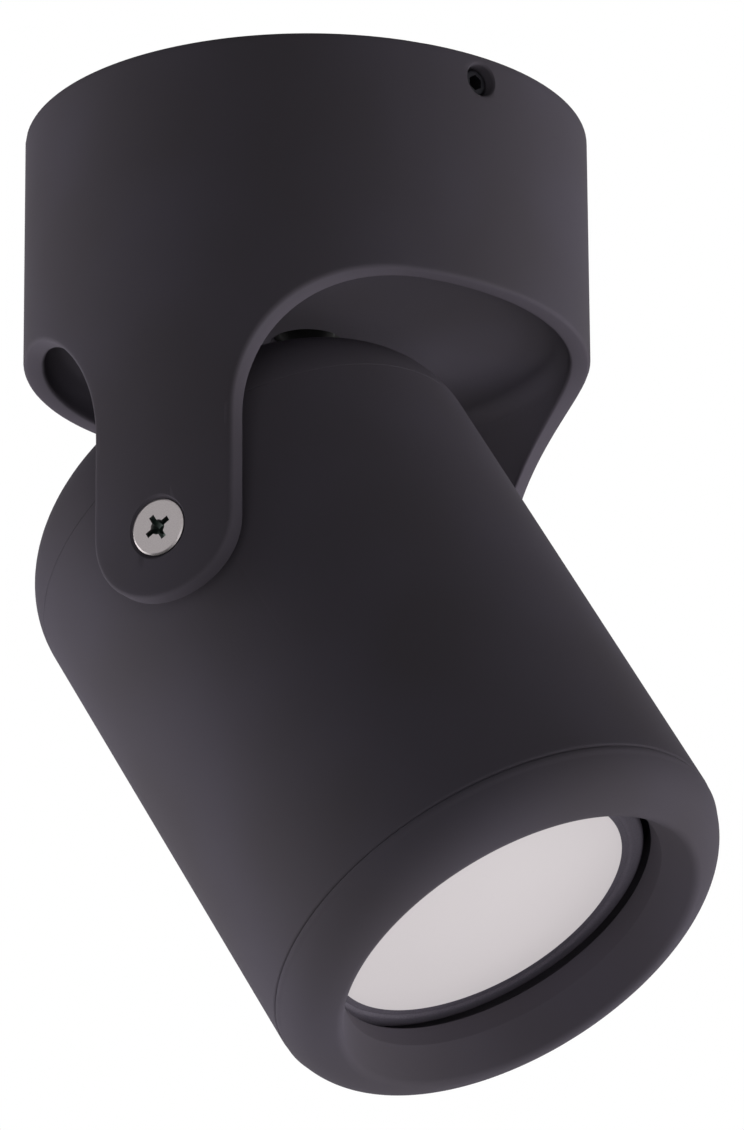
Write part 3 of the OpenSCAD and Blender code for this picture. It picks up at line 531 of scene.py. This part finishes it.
# The rear cap is a die-cast dome with a spigot inside the tube. Two screws in counterbores pull it against
# the tube, a hole at its middle takes the link cable's bush, and two stands carry the holder's bracket.
ROUND_R = 13.2
CAP_WALL = 2.8
CAP_FLAT_R = HEAD_R - ROUND_R
CAP_SEAM_LIP = 0.6
SPIGOT_GAP = 0.1
SPIGOT_R = TUBE_R - SPIGOT_GAP
SPIGOT_L = 8
SPIGOT_WALL = 2.2
SPIGOT_ROOT = 1.4
REAR_HOLE_R = 4.5
REAR_HOLE_EDGE = 0.3
COLUMN_L = 8
NOTCH_R = 4.3
NOTCH_L = 9
CAP_SCREW_CLEAR_R = 1.6
CAP_SCREW_LAND = 5.2
COUNTERBORE_R = 3.05
COUNTERBORE_L = 10.4
COUNTERBORE_MOUTH_R = 4.4
COUNTERBORE_END = 14
STAND_Y = 17.75
STAND_R = 3.6
STAND_H = 3.4
cap_end = REAR_S - ROUND_R
cap_in = cap_end + CAP_WALL
cap_outline = rounded([(REAR_HOLE_R, cap_in, IN_EDGE), (REAR_HOLE_R, cap_end, REAR_HOLE_EDGE),
                       (CAP_FLAT_R, cap_end)])
cap_outline += arc((CAP_FLAT_R, REAR_S), ROUND_R, 270, 357.5, 24)[1:]
cap_outline += rounded([(HEAD_R, REAR_S - CAP_SEAM_LIP), (HEAD_R, REAR_S, REAR_SEAM_EDGE),
                        (SPIGOT_R, REAR_S)])[1:]
cap_outline += [(SPIGOT_R, REAR_S + SPIGOT_L), (SPIGOT_R - SPIGOT_WALL, REAR_S + SPIGOT_L),
                (SPIGOT_R - SPIGOT_WALL, REAR_S - SPIGOT_ROOT)]
cap_outline += arc((CAP_FLAT_R, REAR_S), ROUND_R - CAP_WALL, 352, 270, 12)
cap = lathe("rear_cap_dome", cap_outline, steps=HEAD_SIDES)
for side in (0, 180):
    turned = turned_about("Z", side) @ moved(BOSS_X, 0, 0)
    column = [(0, REAR_S), (BOSS_R, REAR_S), (BOSS_R, REAR_S - COLUMN_L), (0, REAR_S - COLUMN_L)]
    carve(cap, lathe("cap_column", column, turned, BOSS_SIDES), "UNION")
    notch = [(0, REAR_S), (NOTCH_R, REAR_S), (NOTCH_R, REAR_S + NOTCH_L), (0, REAR_S + NOTCH_L)]
    carve(cap, lathe("notch", notch, turned, BOSS_SIDES))
    carve(cap, box("notch_side", (0, -NOTCH_R, REAR_S), (COLUMN_L, NOTCH_R, REAR_S + NOTCH_L), turned))
    well = [(0, REAR_S + OVERRUN), (CAP_SCREW_CLEAR_R, REAR_S + OVERRUN),
            (CAP_SCREW_CLEAR_R, REAR_S - CAP_SCREW_LAND), (COUNTERBORE_R, REAR_S - CAP_SCREW_LAND),
            (COUNTERBORE_R, REAR_S - COUNTERBORE_L), (COUNTERBORE_MOUTH_R, REAR_S - COUNTERBORE_END),
            (0, REAR_S - COUNTERBORE_END)]
    carve(cap, lathe("counterbore", well, turned, BOSS_SIDES))
    foot = [(0, cap_end + ROOT), (STAND_R, cap_end + ROOT), (STAND_R, cap_in + STAND_H),
            (0, cap_in + STAND_H)]
    stand = turned_about("Z", side) @ moved(0, STAND_Y, 0)
    carve(cap, lathe("bracket_stand", foot, stand, BORE_SIDES), "UNION")
put(cap, forward)
finish_piece(cap, powder_coat, "head", "charcoal_powder_coat", "rear_cap")

# The front ring is a turned aluminium nose in the same coat, pushed into the tube on a spigot with a rubber
# gasket. Its mouth is a short cone that ends in a throat just over the lamp's rim.
NOSE_R = 8
RING_TIP = FRONT_S + 7.2
NOSE_CENTRE = (HEAD_R - NOSE_R, RING_TIP - NOSE_R)
THROAT_R = 24.25
THROAT_S = RING_TIP - 5.3
THROAT_EDGE = 0.3
THROAT_CONE = (25.6, 62)
MOUTH_CENTRE = (27.513, 63.125)
MOUTH_ROUND = 1.2
MOUTH_TURN = 73.66
CONE_TURN = 153.35
RING_LAND_R = HEAD_R - 0.04
RING_LAND_L = 0.9
RING_LAND_TAPER = 0.06
NOSE_TURN = 14
RING_SHOULDER = 1.3
RING_IN_R = 28.6
RING_SPIGOT_L = 7.4
RING_SPIGOT_EDGE = 0.4
GROOVE_R = 29.7
GROOVE_FROM = 2.9
GROOVE_TO = 4.7
shoulder, tail = FRONT_S - RING_SHOULDER, FRONT_S - RING_SPIGOT_L
ring_outline = [(SPIGOT_R, FRONT_S)]
ring_outline += rounded([(SPIGOT_R, FRONT_S), (RING_LAND_R, FRONT_S, SEAM_EDGE),
                         (RING_LAND_R - RING_LAND_TAPER, FRONT_S + RING_LAND_L)])[1:]
ring_outline += arc(NOSE_CENTRE, NOSE_R, NOSE_TURN, MOUTH_TURN, 20)
ring_outline += arc(MOUTH_CENTRE, MOUTH_ROUND, MOUTH_TURN, CONE_TURN, 10)[1:]
ring_outline += rounded([THROAT_CONE, (THROAT_R, THROAT_S, THROAT_EDGE), (THROAT_R, shoulder, IN_EDGE),
                         (RING_IN_R, shoulder), (RING_IN_R, tail), (SPIGOT_R, tail, RING_SPIGOT_EDGE),
                         (SPIGOT_R, FRONT_S - GROOVE_TO), (GROOVE_R, FRONT_S - GROOVE_TO),
                         (GROOVE_R, FRONT_S - GROOVE_FROM), (SPIGOT_R, FRONT_S - GROOVE_FROM)])
ring = lathe("front_ring_nose", ring_outline, forward, HEAD_SIDES)
finish_piece(ring, powder_coat, "front_ring", "charcoal_powder_coat", "front_ring")

# The lamp is a 50 mm twist-lock LED lamp that sags a little in its holder. Its face is an opal disc of
# moulded polycarbonate, held by a thin dark rim that is pressed over it.
LAMP_SEAT = 8.1
LAMP_DROOP = 1.9
LAMP_L = 46.9
LAMP_R = 25
DISC_R = 21.65
DISC_SINK = 0.45
DISC_CROWN = 0.9
DISC_LIP = 0.95
DISC_T = 2
CROWN_STEPS = 12
lamp_place = head_place @ moved(0, 0, -LAMP_SEAT) @ turned_about("Y", LAMP_DROOP)
lamp_forward = lamp_place @ turned_about("X", 180)
# Opal polycarbonate, moulded: milky, with a soft satin skin. It carries a painted glow in its own tone, which
# evens the face out, fills the shade that the ring throws on it and hides the source.
opal, tree, shader, place = new_material("moulded_opal_polycarbonate", 0.38, IOR=1.58, Specular_IOR_Level=0.2,
                                         Emission_Color=linear("#cbc5c7"), Emission_Strength=0.8)
skin(tree, shader, place, 30, 1.0, tones=("#696566", "#6e6a6b"))
skin(tree, shader, place, 0.5, rough=(0.34, 0.44), relief=(0.1, 0.01))
crown = []
for k in range(CROWN_STEPS + 1):
    share = k / CROWN_STEPS
    crown.append((DISC_R * share, LAMP_L - DISC_SINK + DISC_CROWN * math.cos(math.pi / 2 * share) ** 2))
lip_r = DISC_R + DISC_LIP
disc_outline = crown + [(lip_r, LAMP_L - DISC_SINK), (lip_r, LAMP_L - DISC_T), (0, LAMP_L - DISC_T)]
disc = lathe("opal_disc", disc_outline, lamp_forward, 128)
finish_piece(disc, opal, "lamp", "opal_diffuser", "lamp_diffuser")
# Dark grey ABS, moulded: a close dull satin that shows as a soft band round the face.
RIM_ROUND = 0.7
RIM_LIP = 1.5
RIM_T = 2.1
RIM_SIDE = 0.85
REBATE = 1
REBATE_T = 0.4
rim_plastic, tree, shader, place = new_material("moulded_dark_abs", 0.6, IOR=1.53, Specular_IOR_Level=0.08)
skin(tree, shader, place, 0.25, tones=("#55505a", "#5c5761"), rough=(0.56, 0.64), relief=(0.2, 0.01))
rim_z = LAMP_L - RIM_ROUND
rim_outline = arc((DISC_R + RIM_LIP, rim_z), RIM_ROUND, 90, 150, 6)[::-1]
rim_outline += arc((LAMP_R - RIM_ROUND, rim_z), RIM_ROUND, 88, 5, 12)
rim_outline += [(LAMP_R, LAMP_L - RIM_SIDE), (LAMP_R, LAMP_L - RIM_T), (DISC_R + REBATE, LAMP_L - RIM_T),
                (DISC_R + REBATE, LAMP_L - REBATE_T), (DISC_R, LAMP_L - REBATE_T)]
rim = lathe("lamp_face_rim", rim_outline, lamp_forward)
finish_piece(rim, rim_plastic, "lamp", "dark_rim_plastic", "lamp_rim")

# Two countersunk M4 screws hang the head: satin nickel steel with a pressed cross recess. They sit flush in
# the legs and turn with the head, with a dark gap round each.
SCREW_L = 16
SCREW_HEAD_EDGE = 0.3
SCREW_HEAD_DROP = 0.16
SCREW_HEAD_SIDE_EDGE = 0.1
SCREW_CONE_L = 2.35
SCREW_TIP_EDGE = 0.4
ARM_HALF_L = 1.95
ARM_HALF_W = 0.4
ARM_DEPTH = 1.5
SHADE_FROM_Y = 39.1
SHADE_TO_Y = 39.6
# Nickel plate on a turned head: pale warm metal with a close satin grain. The cross recess is painted a dark
# grey-green as shade, from just under the head's face inwards.
nickel, tree, shader, place = new_material("satin_nickel_plate", 0.34, 1)
plate = skin(tree, shader, place, 0.15, 3.0, tones=("#958f90", "#a29c9d"), rough=(0.3, 0.4),
             relief=(0.1, 0.01))
# Painted shade: the plate's tone turns dark from just under the face into the recess.
along = add_node(tree, "ShaderNodeSeparateXYZ", inputs={"Vector": place})
reach = add_node(tree, "ShaderNodeMath", {"operation": "ABSOLUTE"}, {0: along.outputs["Y"]})
recess_shade_mask = add_node(tree, "ShaderNodeMapRange",
                inputs={"Value": reach.outputs[0], "From Min": SHADE_FROM_Y * MM,
                        "From Max": SHADE_TO_Y * MM})
shade = add_node(tree, "ShaderNodeMix", {"data_type": "RGBA"},
                 {0: recess_shade_mask.outputs["Result"], 6: linear("#5a6360"), 7: plate})
tree.links.new(shade.outputs[2], shader.inputs["Base Color"])
screw_outline = rounded([(0, 0), (SCREW_HEAD_R - SCREW_HEAD_EDGE, 0, SCREW_HEAD_EDGE),
                         (SCREW_HEAD_R, -SCREW_HEAD_DROP, SCREW_HEAD_SIDE_EDGE), (SCREW_HEAD_R, -SCREW_LAND),
                         (SCREW_R, -SCREW_CONE_L), (SCREW_R, -SCREW_L, SCREW_TIP_EDGE), (0, -SCREW_L)])
screw = lathe("screw", screw_outline, steps=72)
for turn in (0, 90):
    arm = box("recess_arm", (-ARM_HALF_L, -ARM_HALF_W, -ARM_DEPTH), (ARM_HALF_L, ARM_HALF_W, OVERRUN),
              turned_about("Z", turn))
    carve(screw, arm)
recess_cone = [(0, -2.4), (0.4, -2.2), (1.15, 0.2), (0, 0.2)]
carve(screw, lathe("recess_cone", recess_cone, steps=16))


def copies_tree():
    """Geometry Nodes: copies of one piece in a ring about +Z, then put in place and given its material."""
    made = bpy.data.node_groups.new("copies_in_a_ring", "GeometryNodeTree")
    inputs = {}
    for name, kind in (("Source", "Object"), ("Count", "Int"), ("Turn", "Vector"), ("Move", "Vector"),
                       ("Finish", "Material")):
        socket = made.interface.new_socket(name=name, in_out="INPUT", socket_type="NodeSocket" + kind)
        inputs[name] = socket.identifier
    made.interface.new_socket(name="Geometry", in_out="OUTPUT", socket_type="NodeSocketGeometry")
    given = add_node(made, "NodeGroupInput").outputs
    source = add_node(made, "GeometryNodeObjectInfo", inputs={"Object": given["Source"]})
    points = add_node(made, "GeometryNodePoints", inputs={"Count": given["Count"]})
    index = add_node(made, "GeometryNodeInputIndex")
    step = add_node(made, "ShaderNodeMath", {"operation": "DIVIDE"}, {0: 2 * math.pi, 1: given["Count"]})
    angle = add_node(made, "ShaderNodeMath", {"operation": "MULTIPLY"},
                     {0: index.outputs[0], 1: step.outputs[0]})
    turn = add_node(made, "ShaderNodeCombineXYZ", inputs={"Z": angle.outputs[0]})
    copies = add_node(made, "GeometryNodeInstanceOnPoints",
                      inputs={"Points": points.outputs[0], "Instance": source.outputs["Geometry"],
                              "Rotation": turn.outputs[0]})
    real = add_node(made, "GeometryNodeRealizeInstances", inputs={"Geometry": copies.outputs[0]})
    placed = add_node(made, "GeometryNodeTransform",
                      inputs={"Geometry": real.outputs[0], "Translation": given["Move"],
                              "Rotation": given["Turn"]})
    painted = add_node(made, "GeometryNodeSetMaterial",
                       inputs={"Geometry": placed.outputs[0], "Material": given["Finish"]})
    add_node(made, "NodeGroupOutput", inputs={"Geometry": painted.outputs[0]})
    return made, inputs


ring_tree, ring_inputs = copies_tree()


def pair_of(name, source, place, material, body, slot, node):
    """The source piece twice, in a ring about the place's own Z, as one mesh."""
    holder = bpy.data.objects.new(name, bpy.data.meshes.new(name))
    bpy.context.scene.collection.objects.link(holder)
    modifier = holder.modifiers.new("ring", "NODES")
    modifier.node_group = ring_tree
    modifier[ring_inputs["Source"]] = source
    modifier[ring_inputs["Count"]] = 2
    modifier[ring_inputs["Turn"]] = place.to_euler("XYZ")
    modifier[ring_inputs["Move"]] = place.translation * MM
    modifier[ring_inputs["Finish"]] = material
    mesh = as_mesh(holder)
    holder.modifiers.clear()
    holder.data = mesh
    mesh.name = name
    bpy.data.objects.remove(source)
    smooth(holder)
    finish_piece(holder, material, body, slot, node)


put(screw, moved(0, -HEAD_Y, 0) @ turned_about("X", 90))
pair_of("pivot_screw_pair", screw, head_place, nickel, "head", "nickel_plated_steel", "pivot_screws")

# Two nylon spacers fill the gap between the tube and each leg, so the head turns without rubbing its coat.
# They are moulded in black nylon, which looks near black with a dull waxy skin.
SPACER_R = 4.8
SPACER_EDGE = 0.15
SPACER_TO_Y = 37.2
nylon, tree, shader, place = new_material("moulded_black_nylon", 0.6, IOR=1.53)
skin(tree, shader, place, 0.6, tones=("#131314", "#1a1a1b"), rough=(0.54, 0.66), relief=(0.15, 0.01))
spacer_outline = rounded([(PIVOT_BORE_R, SPOT_Y), (SPACER_R, SPOT_Y), (SPACER_R, SPACER_TO_Y, SPACER_EDGE),
                          (PIVOT_BORE_R, SPACER_TO_Y, SPACER_EDGE)])
spacer = lathe("spacer", spacer_outline, turned_about("X", 90), 64)
pair_of("pivot_spacer_pair", spacer, head_place, nylon, "head", "black_nylon", "pivot_spacers")

# Two M3 socket screws hold the rear cap, sunk in its counterbores. They are steel with a black oxide finish,
# which looks blue-black and slightly oily.
CAP_SCREW_R = 1.5
CAP_SCREW_L = 16
CAP_SCREW_HEAD_R = 2.75
CAP_SCREW_HEAD_H = 3
CAP_SCREW_EDGE = 0.3
CAP_SOCKET_R = 1.44
CAP_SOCKET_Z = 1.4
black_oxide, tree, shader, place = new_material("black_oxide_steel", 0.55, 0.6, Specular_IOR_Level=0.2)
skin(tree, shader, place, 0.7, 3.0, tones=("#17161a", "#222126"), rough=(0.46, 0.64), relief=(0.1, 0.01))
cap_screw_outline = rounded([(0, CAP_SCREW_HEAD_H), (CAP_SCREW_HEAD_R, CAP_SCREW_HEAD_H, CAP_SCREW_EDGE),
                             (CAP_SCREW_HEAD_R, 0), (CAP_SCREW_R, 0),
                             (CAP_SCREW_R, -CAP_SCREW_L, CAP_SCREW_EDGE), (0, -CAP_SCREW_L)])
cap_screw = lathe("cap_screw", cap_screw_outline, steps=BOSS_SIDES)
socket_top = CAP_SCREW_HEAD_H + OVERRUN
hex_socket = [(0, CAP_SOCKET_Z), (CAP_SOCKET_R, CAP_SOCKET_Z), (CAP_SOCKET_R, socket_top), (0, socket_top)]
carve(cap_screw, lathe("hex_socket", hex_socket, steps=6))
put(cap_screw, moved(BOSS_X, 0, -REAR_S + CAP_SCREW_LAND))
pair_of("rear_cap_screw_pair", cap_screw, head_place, black_oxide, "head", "blackened_steel",
        "rear_cap_screws")

# Two M4 grub screws, in the same blackened steel, go in through the canopy's side holes. They grip the tabs
# of the ceiling plate and so hold the canopy up.
GRUB_R = 2
GRUB_L = 6
GRUB_EDGE = 0.4
GRUB_POINT = 0.5
GRUB_FROM_R = 32.6
GRUB_SOCKET_R = 1.155
GRUB_SOCKET_Z = 4
grub = lathe("grub", rounded([(0, GRUB_L), (GRUB_R, GRUB_L, GRUB_EDGE), (GRUB_R, 0, GRUB_POINT), (0, 0)]),
             steps=BORE_SIDES)
grub_socket = [(0, GRUB_SOCKET_Z), (GRUB_SOCKET_R, GRUB_SOCKET_Z), (GRUB_SOCKET_R, GRUB_L + OVERRUN),
               (0, GRUB_L + OVERRUN)]
carve(grub, lathe("grub_socket", grub_socket, steps=6))
put(grub, moved(GRUB_FROM_R, 0, SIDE_HOLE_Z) @ turned_about("Y", 90))
grub_place = turned_about("Z", SIDE_HOLE_TURN)
pair_of("canopy_grub_pair", grub, grub_place, black_oxide, "base", "blackened_steel", "canopy_grub_screws")

# Rubber bushes line the web's hole and the cap's hole, each pushed in until its flange sits on the metal.
# Moulded rubber is dull black with a dusty bloom.
BUSH_GAP = 0.05
FLANGE = 1.8
BUSH_EDGE = 0.5
WEB_BUSH_R = 3.8
WEB_BUSH_INSET = 1
WEB_BUSH_TIP_EDGE = 0.3
WEB_FLANGE_H = 1.4
rubber, tree, shader, place = new_material("moulded_black_rubber", 0.78, IOR=1.52)
skin(tree, shader, place, 1.2, tones=("#151515", "#1f1f1f"), rough=(0.72, 0.84), relief=(0.2, 0.02))
sleeve = WEB_HOLE_R - BUSH_GAP
low, high = WEB_Z + WEB_BUSH_INSET, web_top + WEB_FLANGE_H
bush_outline = rounded([(WEB_BUSH_R, low, WEB_BUSH_TIP_EDGE), (sleeve, low, WEB_BUSH_TIP_EDGE),
                        (sleeve, web_top), (sleeve + FLANGE, web_top),
                        (sleeve + FLANGE, high, BUSH_EDGE), (WEB_BUSH_R, high, BUSH_EDGE)])
web_bush = lathe("web_cable_bush", bush_outline, steps=64)
finish_piece(web_bush, rubber, "base", "black_rubber", "web_bush")
REAR_BUSH_R = 3
REAR_FLANGE_H = 1.4
REAR_FLANGE_EDGE = 0.6
sleeve = REAR_HOLE_R - BUSH_GAP
inside, outside = -cap_in - REAR_FLANGE_H, -cap_end + REAR_FLANGE_H
bush_outline = rounded([(REAR_BUSH_R, inside, BUSH_EDGE), (sleeve + FLANGE, inside, BUSH_EDGE),
                        (sleeve + FLANGE, -cap_in), (sleeve, -cap_in), (sleeve, -cap_end),
                        (sleeve + FLANGE, -cap_end), (sleeve + FLANGE, outside, REAR_FLANGE_EDGE),
                        (REAR_BUSH_R, outside, REAR_FLANGE_EDGE)])
rear_bush = lathe("rear_cable_bush", bush_outline, head_place, 64)
finish_piece(rear_bush, rubber, "head", "black_rubber", "rear_bush")

# The parts inside keep their CAD shapes and get the finish of the real ones: zinc on steel, brass, tin,
# white nylon, steatite, lamp plastic, a white board, phosphor, and green and yellow insulation.
# Zinc plate: cold grey-white with soft spangles.
zinc, tree, shader, place = new_material("bright_zinc_plate", 0.36, 1)
skin(tree, shader, place, 3.0, 4.0, tones=("#bbbdc1", "#c8cacd"), rough=(0.3, 0.46), relief=(0.1, 0.01))
# Turned brass: warm yellow, a little tarnished in spots.
brass, tree, shader, place = new_material("turned_brass", 0.3, 1)
skin(tree, shader, place, 2.0, 3.0, tones=("#b08a3e", "#d2ae62"), rough=(0.24, 0.38), relief=(0.1, 0.01))
# Tin plate: pale and slightly milky.
tin, tree, shader, place = new_material("tin_plated_brass", 0.42, 1)
skin(tree, shader, place, 1.5, 3.0, tones=("#b3b1ab", "#c9c7c1"), rough=(0.36, 0.5), relief=(0.1, 0.01))
# White nylon, moulded: creamy, with faint flow marks.
white_nylon, tree, shader, place = new_material("moulded_white_nylon", 0.5, IOR=1.53)
skin(tree, shader, place, 6.0, tones=("#dedcd4", "#e8e6df"), rough=(0.44, 0.56), relief=(0.1, 0.02))
# Steatite, pressed and fired: a smooth ivory ceramic with tiny pits.
steatite, tree, shader, place = new_material("pressed_steatite", 0.4, IOR=1.56)
skin(tree, shader, place, 1.0, 4.0, tones=("#dcd7c9", "#ece8dc"), rough=(0.34, 0.46), relief=(0.2, 0.03))
# Lamp plastic, moulded: clean white with an even sheen.
lamp_white, tree, shader, place = new_material("moulded_white_pbt", 0.35, IOR=1.57)
skin(tree, shader, place, 8.0, tones=("#e2e2df", "#ecebe8"), rough=(0.3, 0.4), relief=(0.1, 0.02))
# White solder mask, printed: a thin glaze that is faintly uneven over the weave of the board.
mask, tree, shader, place = new_material("white_solder_mask", 0.3, IOR=1.55)
skin(tree, shader, place, 0.8, tones=("#e4e4e0", "#eeeeea"), rough=(0.26, 0.36), relief=(0.15, 0.01))
# Phosphor in silicone: a deep yellow, soft and powdery.
phosphor, tree, shader, place = new_material("silicone_phosphor", 0.45, IOR=1.41)
skin(tree, shader, place, 0.3, tones=("#d9b52f", "#e8ca52"), rough=(0.4, 0.5), relief=(0.2, 0.01))
# PVC, extruded in green and yellow, half and half along the wire: plain clear colours with a waxy sheen.
WIRE_X = -11
STRIPE_BLUR = 0.024
insulation, tree, shader, place = new_material("green_and_yellow_pvc", 0.42, IOR=1.54)
skin(tree, shader, place, 0.6, rough=(0.38, 0.46), relief=(0.1, 0.01))
across = add_node(tree, "ShaderNodeSeparateXYZ", inputs={"Vector": place})
stripe = add_node(tree, "ShaderNodeMapRange",
                  inputs={"Value": across.outputs["X"], "From Min": (WIRE_X - STRIPE_BLUR) * MM,
                          "From Max": (WIRE_X + STRIPE_BLUR) * MM})
striped = add_node(tree, "ShaderNodeMix", {"data_type": "RGBA"},
                   {0: stripe.outputs["Result"], 6: linear("#2f7a2c"), 7: linear("#e2c928")})
tree.links.new(striped.outputs[2], shader.inputs["Base Color"])
for material, names in (
    (zinc, ("ceiling_plate", "terminal_screws", "terminal_fixing_screws", "earth_washer", "holder_screws",
            "holder_bracket", "bracket_screws", "pivot_spring_washers", "pivot_nuts")),
    (brass, ("terminal_clamps", "earth_screw")),
    (tin, ("earth_lug", "holder_contacts")),
    (white_nylon, ("terminal_block",)),
    (steatite, ("lamp_holder",)),
    (lamp_white, ("lamp_base", "lamp_housing")),
    (nickel, ("lamp_pins",)),
    (mask, ("lamp_board",)),
    (phosphor, ("lamp_leds",)),
    (insulation, ("earth_wire",)),
    (rubber, ("ring_gasket",)),
):
    for name in names:
        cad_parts[name].data.materials.clear()
        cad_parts[name].data.materials.append(material)

# A plain floor of pale matte paper lies far enough below that low views stay clear, under a white studio
# sky. The camera, gloss and glass see the sky as white, and its light on the object is softer.
FLOOR_Z = -2.4
FLOOR_SIZE = 30
SKY_STRENGTH = 0.03
bpy.ops.mesh.primitive_plane_add(size=FLOOR_SIZE, location=(0, 0, FLOOR_Z))
floor = bpy.context.object
floor.name = "studio_floor"
paper, tree, shader, place = new_material("matte_studio_paper", 0.9)
shader.inputs["Base Color"].default_value = linear("#ececec")
ray = add_node(tree, "ShaderNodeLightPath").outputs
glow = add_node(tree, "ShaderNodeEmission", inputs={"Color": (1, 1, 1, 1), "Strength": 1})
blend = add_node(tree, "ShaderNodeMixShader",
                 inputs={"Fac": ray["Is Camera Ray"], 1: shader.outputs[0], 2: glow.outputs[0]})
tree.links.new(blend.outputs[0], tree.nodes["Material Output"].inputs["Surface"])
floor.data.materials.append(paper)
world = bpy.data.worlds.new("studio_sky")
bpy.context.scene.world = world
world.use_nodes = True
tree = world.node_tree
tree.nodes.clear()
ray = add_node(tree, "ShaderNodeLightPath").outputs
seen = ray["Is Camera Ray"]
for kind in ("Is Glossy Ray", "Is Transmission Ray"):
    seen = add_node(tree, "ShaderNodeMath", {"operation": "MAXIMUM"}, {0: seen, 1: ray[kind]}).outputs[0]
strength = add_node(tree, "ShaderNodeMapRange", inputs={"Value": seen, "To Min": SKY_STRENGTH, "To Max": 1})
sky = add_node(tree, "ShaderNodeBackground",
               inputs={"Color": (1, 1, 1, 1), "Strength": strength.outputs["Result"]})
add_node(tree, "ShaderNodeOutputWorld", inputs={"Surface": sky.outputs[0]})

# Large soft boxes stand left, right and low behind, where a studio table and its side walls throw light back.
# The side that faces the camera gets little, so the round parts fall off towards their middle. Each row is a
# box with its turn from the camera's side, its rise in degrees and its power in watts.
SOFT_BOX_TURN = 30.7
SOFT_BOX_SIZE = 0.9
SOFT_BOX_DISTANCE = 1.2
SOFT_BOX_AIM = Vector((10, 0, -70)) * MM
for name, turn, rise, power in (
    ("left_rear_box", -110, -10, 11.5),
    ("left_rear_low_box", -110, -45, 6.4),
    ("left_back_box", -140, -25, 2),
    ("right_box", 85, -10, 6.7),
    ("right_rear_box", 110, -10, 7.7),
    ("right_rear_low_box", 110, -45, 6),
    ("rear_low_box", 180, -50, 2),
    ("camera_box", 0, -20, 4.4),
):
    light = bpy.data.lights.new(name, "AREA")
    light.size = SOFT_BOX_SIZE
    light.energy = power
    soft_box = bpy.data.objects.new(name, light)
    bpy.context.scene.collection.objects.link(soft_box)
    around, up = math.radians(SOFT_BOX_TURN + turn), math.radians(rise)
    away = Vector((math.sin(around) * math.cos(up), -math.cos(around) * math.cos(up), math.sin(up)))
    soft_box.location = SOFT_BOX_AIM + away * SOFT_BOX_DISTANCE
    soft_box.rotation_euler = away.to_track_quat("Z", "Y").to_euler()
    soft_box.visible_camera = False

bpy.context.scene.view_settings.view_transform = "Standard"
